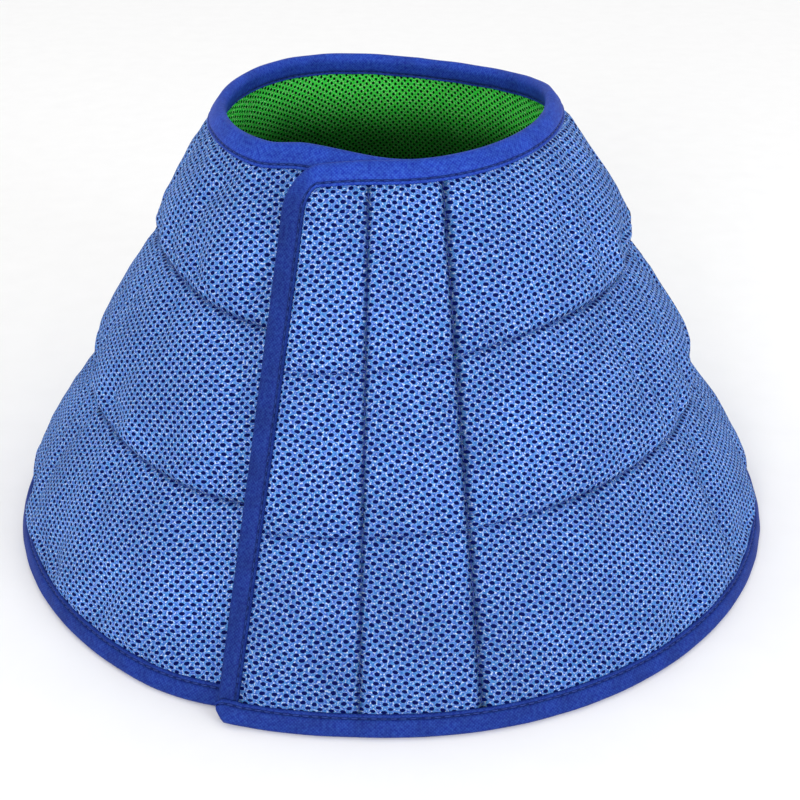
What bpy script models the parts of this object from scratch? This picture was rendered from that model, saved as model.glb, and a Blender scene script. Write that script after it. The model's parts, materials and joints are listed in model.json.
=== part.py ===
"""Elizabethan collar: a padded cloth recovery cone, sewn from strips and wrapped into a cone.

Units are metres, +Z is up, and the cone stands on its wide rim with its closing flap towards -Y.
Places on the cloth use three coordinates: azimuth in degrees, 0 towards -Y and growing
anticlockwise seen from above; slant, up the cloth from the hem to the neck; and depth, out of
the cloth, 0 on the outer face where the layers are stitched flat.
The flap edge, the stitched seams and the two lines where the wrap bends open are straight lines
up the cone, so each of them can be the axis of a hinge.
"""

from math import atan2, cos, degrees, hypot, radians, sin
from typing import NamedTuple

import bmesh
import bpy
import numpy as np
from mathutils import Vector

# Driving sizes of the cone
RIM_RADIUS = 0.1537        # front to back
NECK_RADIUS = 0.0645
HEIGHT = 0.162
RIM_WIDTH = 0.982          # share of the radius that is left sideways: the cone is slightly oval
NECK_WIDTH = 0.930
NECK_SHIFT = Vector((-0.0016, -0.0018, 0.0))  # how far the neck stands off the rim's centre

# Lines up the cone: azimuth in degrees at the rim and at the neck
FLAP_EDGE = (-21.4, -29.6)
TIP_SEAM = (-3.6, -5.0)
COLUMN_SEAM = (11.7, 17.2)
SIDE_BEND = (95.0, 95.0)
REAR_BEND = (148.0, 148.0)
TAB_SEAM = (340.2, 333.9)  # the inner end is padded up to here, just under the flap's edge
INNER_EDGE = (362.0, 374.0)
TAB_CELLS = 8

# Layers of the quilt
COVER = 0.0013
LINING = 0.0010
LAYER_GAP = 0.0003
FOAM_CLEARANCE = 0.0004
PUFF = 0.0042              # how far a band's crown stands out of its seams
SHOULDER = 0.010           # width of the slope between a seam and the full thickness
SHOULDER_LIMIT = 0.3       # and the most of a narrow column that one slope takes
FOAM_REACH = 0.8           # how much of that slope is left free of foam
CROWN = ((0.0, 0.25, 0.5, 0.75, 1.0), (0.0, 0.84, 1.0, 0.84, 0.0))

# Binding tape
TAPE = 0.0005
TAPE_LEG = 0.0068
CORNER_RADIUS = 0.0076
FOOT_HALF_ANGLE = 30.0

# Ring seams: slant of each ring, how far it sags at the flap and climbs towards the inner end
LOWER_RING = (0.0670, 0.0042, 0.0020)
UPPER_RING = (0.1240, 0.0095, 0.0070)

# Neck edge
NECK_FRONT_DIP = 0.0015
NECK_SADDLE = (0.0045, 0.0012)  # how much higher the right and the left side stand
NECK_REAR_TILT = 0.0060    # behind, the edge falls from the left to the right
TIP_DROOP = 0.0070         # the flap's top corner hangs lower
INNER_RISE = 0.0019        # the inner end rides a little higher before it dips under the flap
INNER_DIP = 0.0036

# Overlap of the wrap
FLAP_LIFT = 0.0032         # the flap's tip stands off the cone
TUCK_CLEARANCE = 0.0007    # left between the bound edges of the flap and of the inner end
TUCK_START = -0.030        # measured across the cloth from the flap's edge
TUCK_END = 0.028

# Hook and loop closure
STRIP = 0.0008
STRIP_FOOT = 0.026         # where the lower strips start
LOWER_STRIP_LENGTH = 0.066
STRIP_SPACING = 0.020      # between the lower and the upper strips
STRIP_HEADROOM = 0.0249    # the upper strips stop this far short of the cone's neck
HOOK_SPREAD = (0.009, 0.027)
LOOP_SPREAD = (0.006, 0.036)
LOOP_OVERRUN = 0.004
LOOP_CLEARANCE = 0.0005

# Joints
SIDE_GAP = 0.00025         # each panel stops this far short of a hinge line
FOLD_DEPTH = 0.0010        # a stitched seam folds about its outer face
BEND_DEPTH = PUFF + 0.0005

LEAN = atan2(RIM_RADIUS - NECK_RADIUS, HEIGHT)
SLANT_LENGTH = hypot(RIM_RADIUS - NECK_RADIUS, HEIGHT)
PANEL = COVER + LAYER_GAP + LINING
PANEL_MIDDLE = -PANEL / 2
ROLL = PANEL / 2 + LAYER_GAP + TAPE
PANEL_INSET = ROLL + LAYER_GAP + 0.0002
TUCK = (2 * ROLL + TUCK_CLEARANCE) / cos(LEAN)  # the inner end runs this far inside the cone
LOWER_STRIP_TOP = STRIP_FOOT + LOWER_STRIP_LENGTH
STRIP_SLANTS = ((STRIP_FOOT, LOWER_STRIP_TOP),
                (LOWER_STRIP_TOP + STRIP_SPACING, SLANT_LENGTH - STRIP_HEADROOM))
FOOT_LIFT = ROLL * cos(radians(FOOT_HALF_ANGLE)) - ROLL * cos(LEAN) - PANEL_MIDDLE * sin(LEAN)
FOOT_ANGLE = 90.0 + degrees(LEAN)
ROLL_ANGLES = (0.0, (FOOT_ANGLE - FOOT_HALF_ANGLE) / 2, FOOT_ANGLE - FOOT_HALF_ANGLE,
               FOOT_ANGLE + FOOT_HALF_ANGLE, 180.0)


class Span(NamedTuple):
    """One body's share of the wrap, between two lines up the cone.

    Where its padding starts and ends it is "free" and bound with tape, stitched flat at a
    "seam", or runs on at full thickness past a "bend". A tab carries its cloth on, unpadded.
    """

    name: str
    start: tuple
    end: tuple
    start_kind: str
    end_kind: str
    cells: int             # columns of faces at full thickness
    crowding: float = 1.0  # above 1, the columns crowd towards the end line
    tab: tuple = ()        # line where an unpadded tab ends


FLAP_TIP = Span("flap_tip", FLAP_EDGE, TIP_SEAM, "free", "seam", 2)
FLAP_COLUMN = Span("flap_column", TIP_SEAM, COLUMN_SEAM, "seam", "seam", 2)
FRONT_WING = Span("front_wing", COLUMN_SEAM, SIDE_BEND, "seam", "bend", 9)
SIDE_WING = Span("side_wing", SIDE_BEND, REAR_BEND, "bend", "bend", 5)
REAR = Span("rear", REAR_BEND, TAB_SEAM, "bend", "seam", 22, 1.3, INNER_EDGE)
SPANS = (FLAP_TIP, FLAP_COLUMN, FRONT_WING, SIDE_WING, REAR)


def ease(value, low, high):
    """Go smoothly from 0 at low to 1 at high."""
    share = min(max((value - low) / (high - low), 0.0), 1.0)
    return share * share * (3 - 2 * share)


def radius(slant):
    return RIM_RADIUS - slant * sin(LEAN)


def line_azimuth(line, slant):
    """Azimuth of a straight line up the cone, at one slant."""
    share = slant / SLANT_LENGTH
    rim, neck = (radians(angle) for angle in line)
    x = RIM_RADIUS * sin(rim) * (1 - share) + NECK_RADIUS * sin(neck) * share
    y = RIM_RADIUS * cos(rim) * (1 - share) + NECK_RADIUS * cos(neck) * share
    turns = round((line[0] - degrees(atan2(x, y))) / 360)
    return degrees(atan2(x, y)) + 360 * turns


def past_flap_edge(azimuth, slant):
    """Distance across the cloth from the flap's edge to a place on the layer beneath it."""
    return radians(azimuth - 360 - line_azimuth(FLAP_EDGE, slant)) * radius(slant)


def wrap_offset(azimuth, slant):
    """How far the wrap runs outside the plain cone, level with the ground."""
    if azimuth > 180:
        return -TUCK * ease(past_flap_edge(azimuth, slant), TUCK_START, TUCK_END)
    return FLAP_LIFT * (1 - ease(azimuth, -24, 0))


def place(azimuth, slant, depth):
    """The point at one azimuth, slant and depth."""
    reach = radius(slant) + wrap_offset(azimuth, slant) + depth * cos(LEAN)
    turn = radians(azimuth)
    share = slant / SLANT_LENGTH
    width = RIM_WIDTH + (NECK_WIDTH - RIM_WIDTH) * share
    rise = FOOT_LIFT + slant * cos(LEAN) + depth * sin(LEAN)
    return Vector((reach * width * sin(turn), -reach * cos(turn), rise)) + NECK_SHIFT * share


def neck_line(azimuth):
    """Slant of the neck edge."""
    turn = radians(azimuth)
    sides = NECK_SADDLE[azimuth > 180] * sin(turn) ** 2
    tilt = NECK_REAR_TILT * max(-cos(turn), 0) * sin(turn)
    dip = NECK_FRONT_DIP * (1 + cos(turn)) / 2
    droop = TIP_DROOP * max((2 - azimuth) / 32, 0) ** 3
    inner = INNER_RISE * ease(azimuth, 318, 333) - INNER_DIP * ease(azimuth, 332, 370)
    return SLANT_LENGTH + sides - tilt - dip - droop + inner


def ring_line(ring, azimuth):
    """Slant of a ring seam: low on the flap, highest on the left, settling at the inner end."""
    level, sag, climb = ring
    climbing = ease(azimuth, 150, 290) - ease(azimuth, 290, 345)
    return level - sag * (1 - ease(azimuth, -25, 45)) + climb * climbing


def band_edges(azimuth):
    """Slants where the three padded bands start and end."""
    return (TAPE_LEG, ring_line(LOWER_RING, azimuth), ring_line(UPPER_RING, azimuth),
            neck_line(azimuth) - TAPE_LEG)


def columns(span, slant, inset, padded=False):
    """Columns of a span at one slant, each an azimuth and its filling.

    inset is how far the cloth stops short of each end; filling is 0 where it is stitched flat.
    Only the columns of the padding are given for a pad.
    """
    start = line_azimuth(span.start, slant)
    width = radians(line_azimuth(span.end, slant) - start) * radius(slant)
    slope = min(SHOULDER, SHOULDER_LIMIT * width)
    flat = {"free": [0.0, TAPE_LEG], "seam": [0.0], "bend": []}
    before, after = flat[span.start_kind], flat[span.end_kind]
    low = before[-1] + slope if before else 0.0
    high = width - (after[-1] + slope if after else 0.0)
    shares = 1 - (1 - np.linspace(0, 1, span.cells + 1)) ** span.crowding
    reaches = before + list(low + (high - low) * shares) + [width - gap for gap in reversed(after)]
    fills = [0.0] * len(before) + [1.0] * len(shares) + [0.0] * len(after)
    if padded and span.start_kind == "free":
        reaches, fills = reaches[1:], fills[1:]
    elif span.tab and not padded:
        tab = radians(line_azimuth(span.tab, slant) - start) * radius(slant) - width
        reaches += [width + tab * share for share in np.linspace(0, 1, TAB_CELLS + 1)[1:]]
        fills += [0.0] * TAB_CELLS
        width += tab
    kept = np.clip(reaches, inset[0], width - inset[1])
    filling = np.interp(kept, reaches, fills)
    return [(start + degrees(reach / radius(slant)), fill) for reach, fill in zip(kept, filling)]


def corner_drop(span, column):
    """The flap's first column stops lower, to stay inside its rounded corner."""
    return CORNER_RADIUS - PANEL_INSET if span is FLAP_TIP and column == 0 else 0.0


def make_material(name, colour, roughness):
    """Plain cloth finish: colour, roughness, no metal."""
    material = bpy.data.materials.new(name)
    material.use_nodes = True
    shader = material.node_tree.nodes["Principled BSDF"]
    shader.inputs["Base Color"].default_value = (*colour, 1.0)
    shader.inputs["Roughness"].default_value = roughness
    shader.inputs["Metallic"].default_value = 0.0
    return material


def make_slab(name, cells, rows, locate, material):
    """A cloth piece: a flat grid given thickness, then laid in place.

    locate(column, row, layer) gives a point, with layer 0 inside and 1 outside.
    """
    sheet = bmesh.new()
    bmesh.ops.create_grid(sheet, x_segments=cells, y_segments=rows, size=0.5)
    thick = bmesh.ops.extrude_face_region(sheet, geom=sheet.faces[:], use_keep_orig=True)
    for item in thick["geom"]:
        if isinstance(item, bmesh.types.BMVert):
            item.co.z = 1.0
    for vertex in sheet.verts:
        column = round((vertex.co.x + 0.5) * cells)
        row = round((vertex.co.y + 0.5) * rows)
        vertex.co = locate(column, row, round(vertex.co.z))
    bmesh.ops.recalc_face_normals(sheet, faces=sheet.faces[:])
    if sheet.calc_volume(signed=True) < 0:
        bmesh.ops.reverse_faces(sheet, faces=sheet.faces[:])
    mesh = bpy.data.meshes.new(name)
    sheet.to_mesh(mesh)
    sheet.free()
    mesh.shade_smooth()
    mesh.set_sharp_from_angle(angle=radians(40))
    piece = bpy.data.objects.new(name, mesh)
    piece.data.materials.append(material)
    return piece


def settle(span, column, inset, slant_at, padded=False):
    """Azimuth, slant and filling of one grid point, whose slant depends on its azimuth."""
    slant = SLANT_LENGTH / 2
    for _ in range(4):
        azimuth, fill = columns(span, slant, inset, padded)[column]
        slant = slant_at(azimuth)
    return azimuth, slant, fill


def end_insets(span, tape_side):
    """How far a span's cloth stops short of its two lines."""
    bound = (span.start_kind == "free", bool(span.tab))
    return tuple(tape_side if edge else SIDE_GAP for edge in bound)


def cell_count(span):
    return len(columns(span, 0.0, (0, 0))) - 1


def cover_rows(azimuth, drop):
    """Slant and crown of each row of the outer cover, from hem to neck."""
    edges = band_edges(azimuth)
    edges = (*edges[:3], edges[3] - drop)
    rows = [(PANEL_INSET, 0.0)]
    for low, high in zip(edges, edges[1:]):
        rows += [(low + (high - low) * share, crown) for share, crown in list(zip(*CROWN))[:-1]]
    return rows + [(edges[3], 0.0), (edges[3] + TAPE_LEG - PANEL_INSET, 0.0)]


def make_cover(span, material):
    """Outer air mesh, puffed out between its seams."""
    row_count = len(cover_rows(0, 0)) - 1
    inset = end_insets(span, PANEL_INSET)

    def locate(column, row, layer):
        drop = corner_drop(span, column)
        azimuth, slant, fill = settle(span, column, inset, lambda a: cover_rows(a, drop)[row][0])
        crown = cover_rows(azimuth, drop)[row][1]
        lift = PUFF * crown * fill
        return place(azimuth, slant, lift - COVER * (1 - layer))

    return make_slab("cover_" + span.name, cell_count(span), row_count, locate, material)


def make_lining(span, material):
    """Inner air mesh, laid flat behind the foam."""
    inset = end_insets(span, PANEL_INSET)
    row_count = len(cover_rows(0, 0)) // 2

    def locate(column, row, layer):
        drop = corner_drop(span, column)

        def slant_at(azimuth):
            rows = cover_rows(azimuth, drop)
            return rows[min(2 * row, len(rows) - 1)][0]

        azimuth, slant, _ = settle(span, column, inset, slant_at)
        return place(azimuth, slant, -PANEL + LINING * layer)

    return make_slab("lining_" + span.name, cell_count(span), row_count, locate, material)


def make_foam(span, band, material):
    """Foam pad of one band, between cover and lining and short of every seam."""
    shares, crowns = CROWN
    margin = FOAM_REACH * shares[1]
    reach = {"free": TAPE_LEG + FOAM_REACH * SHOULDER, "seam": FOAM_REACH * SHOULDER,
             "bend": 4 * SIDE_GAP}
    insets = reach[span.start_kind], reach[span.end_kind]

    def locate(column, row, layer):
        share = min(max(shares[row], margin), 1 - margin)

        def slant_at(azimuth):
            low, high = band_edges(azimuth)[band:band + 2]
            return low + (high - low) * share

        azimuth, slant, fill = settle(span, column, insets, slant_at, True)
        lift = PUFF * np.interp(share, shares, crowns) * fill
        inner = -COVER - LAYER_GAP + FOAM_CLEARANCE
        return place(azimuth, slant, lift - COVER - FOAM_CLEARANCE if layer else inner)

    name = f"foam_{('hem', 'middle', 'neck')[band]}_{span.name}"
    cells = len(columns(span, 0.0, insets, True)) - 1
    return make_slab(name, cells, len(shares) - 1, locate, material)


def tape_section(point, layer):
    """Section of the folded tape: how far in from the edge, and its depth."""
    thickness = ROLL - TAPE * (1 - layer)
    last = len(ROLL_ANGLES) + 1
    if point in (0, last):
        return TAPE_LEG, PANEL_MIDDLE + (thickness if point == 0 else -thickness)
    turn = radians(ROLL_ANGLES[point - 1])
    return ROLL - thickness * sin(turn), PANEL_MIDDLE + thickness * cos(turn)


def make_binding(name, path, material):
    """Tape folded over an edge. path lists azimuth, slant and the inward direction."""

    def locate(station, point, layer):
        azimuth, slant, across, up = path[station]
        reach, depth = tape_section(point, layer)
        slant += up * reach
        return place(azimuth + degrees(across * reach / radius(slant)), slant, depth)

    return make_slab(name, len(path) - 1, len(ROLL_ANGLES) + 1, locate, material)


def hem_path(span):
    """Along the rim, from one end of a span to the other."""
    inset = end_insets(span, 0.0)
    return [(azimuth, 0.0, 0, 1) for azimuth, _ in columns(span, 0.0, inset)]


def neck_path(span):
    """Along the neck."""
    inset = end_insets(span, 0.0)
    return [(azimuth, neck_line(azimuth), 0, -1)
            for azimuth, _ in columns(span, SLANT_LENGTH, inset)]


def edge_path(line, side, low, high, cells=6):
    """Up a free edge, with the cloth on one side of it."""
    return [(line_azimuth(line, slant), slant, side, 0) for slant in np.linspace(low, high, cells)]


def flap_path():
    """Up the flap's edge, round its corner and along the neck to the first seam."""
    shoulder = neck_line(FLAP_EDGE[1]) - CORNER_RADIUS
    path = edge_path(FLAP_EDGE, 1, TAPE_LEG + LAYER_GAP, shoulder)
    for turn in map(radians, (30, 60, 90)):
        reach = CORNER_RADIUS * (1 - cos(turn))
        azimuth = line_azimuth(FLAP_EDGE, shoulder) + degrees(reach / radius(shoulder))
        slant = neck_line(azimuth) - CORNER_RADIUS * (1 - sin(turn))
        path.append((azimuth, slant, cos(turn), -sin(turn)))
    return path + [station for station in neck_path(FLAP_TIP) if station[0] > path[-1][0] + 1]


def make_strip(name, slants, spread, depth, turns, material):
    """Flat strip of hook or loop tape, beside the flap's edge."""

    def locate(column, row, layer):
        slant = slants[0] + (slants[1] - slants[0]) * row / 6
        reach = spread[0] + (spread[1] - spread[0]) * column / 4
        azimuth = line_azimuth(FLAP_EDGE, slant) + degrees(reach / radius(slant)) + 360 * turns
        return place(azimuth, slant, depth + STRIP * layer)

    return make_slab(name, 4, 6, locate, material)


def make_hinge(name, line, depth):
    """Empty on a line up the cone, with its local Z along the line, upwards."""
    foot = place(line_azimuth(line, 0.0), 0.0, depth)
    head = place(line_azimuth(line, SLANT_LENGTH), SLANT_LENGTH, depth)
    hinge = bpy.data.objects.new(name, None)
    hinge.empty_display_type = "SINGLE_ARROW"
    hinge.empty_display_size = SLANT_LENGTH
    hinge.rotation_mode = "QUATERNION"
    hinge.rotation_quaternion = (head - foot).to_track_quat("Z", "Y")
    hinge.location = foot
    return hinge


def hang(child, parent):
    """Parent an object without moving it."""
    child.parent = parent
    child.matrix_parent_inverse = parent.matrix_world.inverted()


def build_span(span, materials):
    """The pieces of one body."""
    mesh, green, foam, tape = (materials[key] for key in ("mesh", "lining", "foam", "tape"))
    pieces = [make_cover(span, mesh), make_lining(span, green)]
    pieces += [make_foam(span, band, foam) for band in range(3)]
    pieces.append(make_binding("hem_binding_" + span.name, hem_path(span), tape))
    path = flap_path() if span is FLAP_TIP else neck_path(span)
    pieces.append(make_binding("neck_binding_" + span.name, path, tape))
    return pieces


def build_closure(materials):
    """Hook strips inside the flap's tip, and loop strips outside the inner end."""
    hooks, loops = [], []
    for word, (low, high) in zip(("lower", "upper"), STRIP_SLANTS):
        hooks.append(make_strip("hook_strip_" + word, (low, high), HOOK_SPREAD,
                                -PANEL - LAYER_GAP - STRIP, 0, materials["hook"]))
        loops.append(make_strip("loop_strip_" + word, (low - LOOP_OVERRUN, high + LOOP_OVERRUN),
                                LOOP_SPREAD, LOOP_CLEARANCE, 1, materials["loop"]))
    return hooks, loops


def centre_on_origin(pieces, carriers):
    """Slide everything level, so that the collar's box is centred over the origin."""
    points = [vertex.co for piece in pieces for vertex in piece.data.vertices]
    middle = [(min(p[axis] for p in points) + max(p[axis] for p in points)) / 2 for axis in (0, 1)]
    slide = Vector((-middle[0], -middle[1], 0.0))
    for carrier in carriers:
        carrier.location += slide


def main():
    for item in list(bpy.data.objects):
        bpy.data.objects.remove(item)
    collection = bpy.data.collections.new("elizabethan_collar")
    bpy.context.scene.collection.children.link(collection)
    materials = {
        "mesh": make_material("air_mesh_blue", (0.085, 0.175, 0.66), 0.75),
        "lining": make_material("air_mesh_green", (0.02, 0.42, 0.04), 0.8),
        "foam": make_material("foam_white", (0.8, 0.8, 0.76), 0.95),
        "tape": make_material("binding_blue", (0.022, 0.06, 0.38), 0.7),
        "hook": make_material("hook_tape_blue", (0.02, 0.045, 0.3), 0.6),
        "loop": make_material("loop_tape_blue", (0.03, 0.07, 0.4), 0.9),
    }
    bodies = {span.name: build_span(span, materials) for span in SPANS}
    hooks, loops = build_closure(materials)
    bodies["flap_tip"] += hooks
    top = neck_line(INNER_EDGE[1]) - TAPE_LEG - LAYER_GAP
    inner_path = edge_path(INNER_EDGE, -1, TAPE_LEG + LAYER_GAP, top)
    inner_binding = make_binding("inner_edge_binding", inner_path, materials["tape"])
    bodies["rear"] += [inner_binding, *loops]

    hinges = {
        "side_wing": make_hinge("rear_bend_axis", REAR_BEND, BEND_DEPTH),
        "front_wing": make_hinge("side_bend_axis", SIDE_BEND, BEND_DEPTH),
        "flap_column": make_hinge("column_seam_axis", COLUMN_SEAM, FOLD_DEPTH),
        "flap_tip": make_hinge("tip_seam_axis", TIP_SEAM, FOLD_DEPTH),
    }
    everything = [piece for pieces in bodies.values() for piece in pieces]
    for item in everything + list(hinges.values()):
        collection.objects.link(item)
    centre_on_origin(everything, bodies["rear"] + list(hinges.values()))
    bpy.context.view_layer.update()
    for name, hinge in hinges.items():
        for piece in bodies[name]:
            piece.location = bodies["rear"][0].location
            bpy.context.view_layer.update()
            hang(piece, hinge)
    carriers = ["side_wing", "front_wing", "flap_column", "flap_tip"]
    for carrier, rider in zip(carriers, carriers[1:]):
        hang(hinges[rider], hinges[carrier])
    bpy.context.view_layer.update()


if __name__ == "__main__":
    main()
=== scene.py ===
"""Elizabethan collar: the sewn cloth, tape, thread and closure of a padded recovery cone.

Units are metres, +Z is up and the closing flap faces -Y. A place on the cloth has an azimuth in
degrees (0 towards -Y, growing anticlockwise seen from above), a slant (metres up the cloth from
the hem) and a depth (metres out of the cloth, 0 on the outer face where it is stitched flat).
"""

import json
import logging
from dataclasses import dataclass
from enum import Enum, IntEnum
from functools import cached_property
from math import atan2, cos, hypot, pi, radians, sin

import bmesh
import bpy
import numpy as np
from mathutils import Matrix, Vector
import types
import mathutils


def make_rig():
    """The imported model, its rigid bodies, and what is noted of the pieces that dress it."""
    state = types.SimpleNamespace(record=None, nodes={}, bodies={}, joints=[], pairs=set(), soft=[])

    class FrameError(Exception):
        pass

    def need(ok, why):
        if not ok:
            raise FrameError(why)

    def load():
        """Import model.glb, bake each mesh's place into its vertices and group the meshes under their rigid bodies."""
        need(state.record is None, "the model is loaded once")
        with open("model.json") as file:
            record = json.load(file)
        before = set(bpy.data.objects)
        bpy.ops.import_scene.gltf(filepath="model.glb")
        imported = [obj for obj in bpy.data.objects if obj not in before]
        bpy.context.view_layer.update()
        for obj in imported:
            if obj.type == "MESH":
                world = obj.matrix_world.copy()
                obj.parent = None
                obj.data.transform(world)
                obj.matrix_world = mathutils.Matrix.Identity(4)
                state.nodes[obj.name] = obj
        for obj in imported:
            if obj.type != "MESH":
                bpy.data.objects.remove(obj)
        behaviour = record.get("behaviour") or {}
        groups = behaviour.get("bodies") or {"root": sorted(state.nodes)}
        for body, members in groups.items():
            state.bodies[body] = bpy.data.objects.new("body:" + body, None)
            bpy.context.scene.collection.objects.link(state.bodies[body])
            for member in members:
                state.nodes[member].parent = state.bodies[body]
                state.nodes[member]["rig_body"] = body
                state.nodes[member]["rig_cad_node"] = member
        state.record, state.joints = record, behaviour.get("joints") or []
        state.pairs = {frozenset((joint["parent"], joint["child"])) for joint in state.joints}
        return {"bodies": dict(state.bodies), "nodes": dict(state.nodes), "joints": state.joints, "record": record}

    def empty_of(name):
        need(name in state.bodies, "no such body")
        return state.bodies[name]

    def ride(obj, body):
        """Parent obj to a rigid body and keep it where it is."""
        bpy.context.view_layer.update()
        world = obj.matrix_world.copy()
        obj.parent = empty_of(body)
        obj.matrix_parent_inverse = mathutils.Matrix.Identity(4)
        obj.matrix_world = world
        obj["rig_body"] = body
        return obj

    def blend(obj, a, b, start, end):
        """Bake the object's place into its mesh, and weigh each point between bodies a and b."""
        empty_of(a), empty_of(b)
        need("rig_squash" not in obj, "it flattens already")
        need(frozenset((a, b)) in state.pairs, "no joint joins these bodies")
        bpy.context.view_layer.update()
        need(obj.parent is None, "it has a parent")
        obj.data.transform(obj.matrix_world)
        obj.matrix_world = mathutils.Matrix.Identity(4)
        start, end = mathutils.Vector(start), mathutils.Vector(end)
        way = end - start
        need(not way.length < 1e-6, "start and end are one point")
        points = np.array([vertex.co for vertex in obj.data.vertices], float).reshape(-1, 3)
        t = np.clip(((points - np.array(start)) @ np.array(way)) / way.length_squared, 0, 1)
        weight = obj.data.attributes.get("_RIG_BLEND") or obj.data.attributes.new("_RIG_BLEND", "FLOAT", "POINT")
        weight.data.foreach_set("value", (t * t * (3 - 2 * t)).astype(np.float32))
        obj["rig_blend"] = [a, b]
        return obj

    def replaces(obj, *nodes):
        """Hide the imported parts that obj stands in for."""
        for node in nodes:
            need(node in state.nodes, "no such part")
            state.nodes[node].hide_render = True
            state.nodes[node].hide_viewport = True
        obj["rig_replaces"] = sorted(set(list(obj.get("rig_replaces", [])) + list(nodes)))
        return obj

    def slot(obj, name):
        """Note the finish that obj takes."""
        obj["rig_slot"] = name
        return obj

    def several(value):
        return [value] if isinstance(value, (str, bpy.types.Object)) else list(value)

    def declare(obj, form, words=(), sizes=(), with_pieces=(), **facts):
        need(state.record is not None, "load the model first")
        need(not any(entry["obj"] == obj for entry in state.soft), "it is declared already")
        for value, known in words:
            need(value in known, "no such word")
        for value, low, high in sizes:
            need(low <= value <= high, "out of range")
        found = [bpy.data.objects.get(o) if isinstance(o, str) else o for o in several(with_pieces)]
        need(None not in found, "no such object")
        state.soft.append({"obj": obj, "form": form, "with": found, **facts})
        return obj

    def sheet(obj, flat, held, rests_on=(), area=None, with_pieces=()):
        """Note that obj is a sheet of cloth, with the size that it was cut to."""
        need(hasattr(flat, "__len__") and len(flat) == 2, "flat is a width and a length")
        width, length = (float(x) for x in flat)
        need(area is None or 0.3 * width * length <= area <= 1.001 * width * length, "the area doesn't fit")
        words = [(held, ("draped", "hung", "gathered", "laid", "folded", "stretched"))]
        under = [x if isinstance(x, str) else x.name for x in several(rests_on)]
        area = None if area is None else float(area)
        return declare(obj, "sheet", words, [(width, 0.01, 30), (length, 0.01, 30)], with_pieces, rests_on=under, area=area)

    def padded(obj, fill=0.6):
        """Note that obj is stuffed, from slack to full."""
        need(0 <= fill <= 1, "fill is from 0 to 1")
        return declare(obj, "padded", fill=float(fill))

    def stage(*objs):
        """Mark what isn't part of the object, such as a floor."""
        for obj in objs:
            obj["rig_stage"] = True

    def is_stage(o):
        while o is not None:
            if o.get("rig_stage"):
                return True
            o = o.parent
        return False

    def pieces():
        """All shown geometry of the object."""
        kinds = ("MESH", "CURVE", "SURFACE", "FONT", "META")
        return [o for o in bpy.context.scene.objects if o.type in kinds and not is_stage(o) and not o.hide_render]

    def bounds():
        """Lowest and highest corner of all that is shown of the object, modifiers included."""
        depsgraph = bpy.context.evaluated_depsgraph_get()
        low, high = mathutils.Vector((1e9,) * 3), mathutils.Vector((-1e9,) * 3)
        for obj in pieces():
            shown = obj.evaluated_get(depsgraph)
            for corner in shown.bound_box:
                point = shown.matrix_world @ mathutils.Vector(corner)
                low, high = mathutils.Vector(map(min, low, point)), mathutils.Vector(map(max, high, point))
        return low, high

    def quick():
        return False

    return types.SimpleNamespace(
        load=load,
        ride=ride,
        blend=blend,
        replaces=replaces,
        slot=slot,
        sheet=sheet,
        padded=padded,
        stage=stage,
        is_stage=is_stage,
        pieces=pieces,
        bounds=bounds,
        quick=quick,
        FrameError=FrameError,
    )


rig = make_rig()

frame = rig.load()
CAD_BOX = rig.bounds()
SIZE_FILE = "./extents.json"
LOG = logging.getLogger("collar")

MM = 0.001
PATTERN_MAP = "cloth_mm"   # UV map that holds places on the flat cloth, in millimetres
PAINTED_SHADE = "painted_shade"  # attribute of painted shade, 1 where the colour is drawn fully in shade


# ---------------------------------------------------------------- the cone and its cloth

def ease(value: np.ndarray, low: float, high: float) -> np.ndarray:
    """Go smoothly from 0 at low to 1 at high."""
    share = np.clip((value - low) / (high - low), 0.0, 1.0)
    return share * share * (3 - 2 * share)


@dataclass(frozen=True)
class Line:
    """A straight line up the cone, by its azimuth in degrees at the rim and at the neck."""

    rim: float
    neck: float


class Knot(IntEnum):
    """Lines up the cone, in order across the cloth; a column coordinate counts between them."""

    FLAP_EDGE = 0
    TIP_SEAM = 1
    COLUMN_CUT = 2
    COLUMN_SEAM = 3
    WING_CUT = 4
    SIDE_BEND = 5
    SIDE_CUT = 6
    REAR_BEND = 7
    REAR_CUT = 8
    TAB_SEAM = 9
    INNER_EDGE = 10


KNOT_LINES = {
    Knot.FLAP_EDGE: Line(-21.4, -29.6),
    Knot.TIP_SEAM: Line(-3.6, -5.0),
    Knot.COLUMN_CUT: Line(4.05, 6.1),
    Knot.COLUMN_SEAM: Line(11.7, 17.2),
    Knot.WING_CUT: Line(55.0, 55.0),
    Knot.SIDE_BEND: Line(95.0, 95.0),
    Knot.SIDE_CUT: Line(121.5, 121.5),
    Knot.REAR_BEND: Line(148.0, 148.0),
    Knot.REAR_CUT: Line(170.0, 170.0),
    Knot.TAB_SEAM: Line(340.2, 333.9),
    Knot.INNER_EDGE: Line(362.0, 374.0),
}


class Tier(IntEnum):
    """Lines round the cone, from hem to neck; a row coordinate counts between them."""

    HEM = 0
    HEM_TAPE = 1
    LOWER_RING = 2
    UPPER_RING = 3
    NECK_TAPE = 4
    NECK = 5


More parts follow.
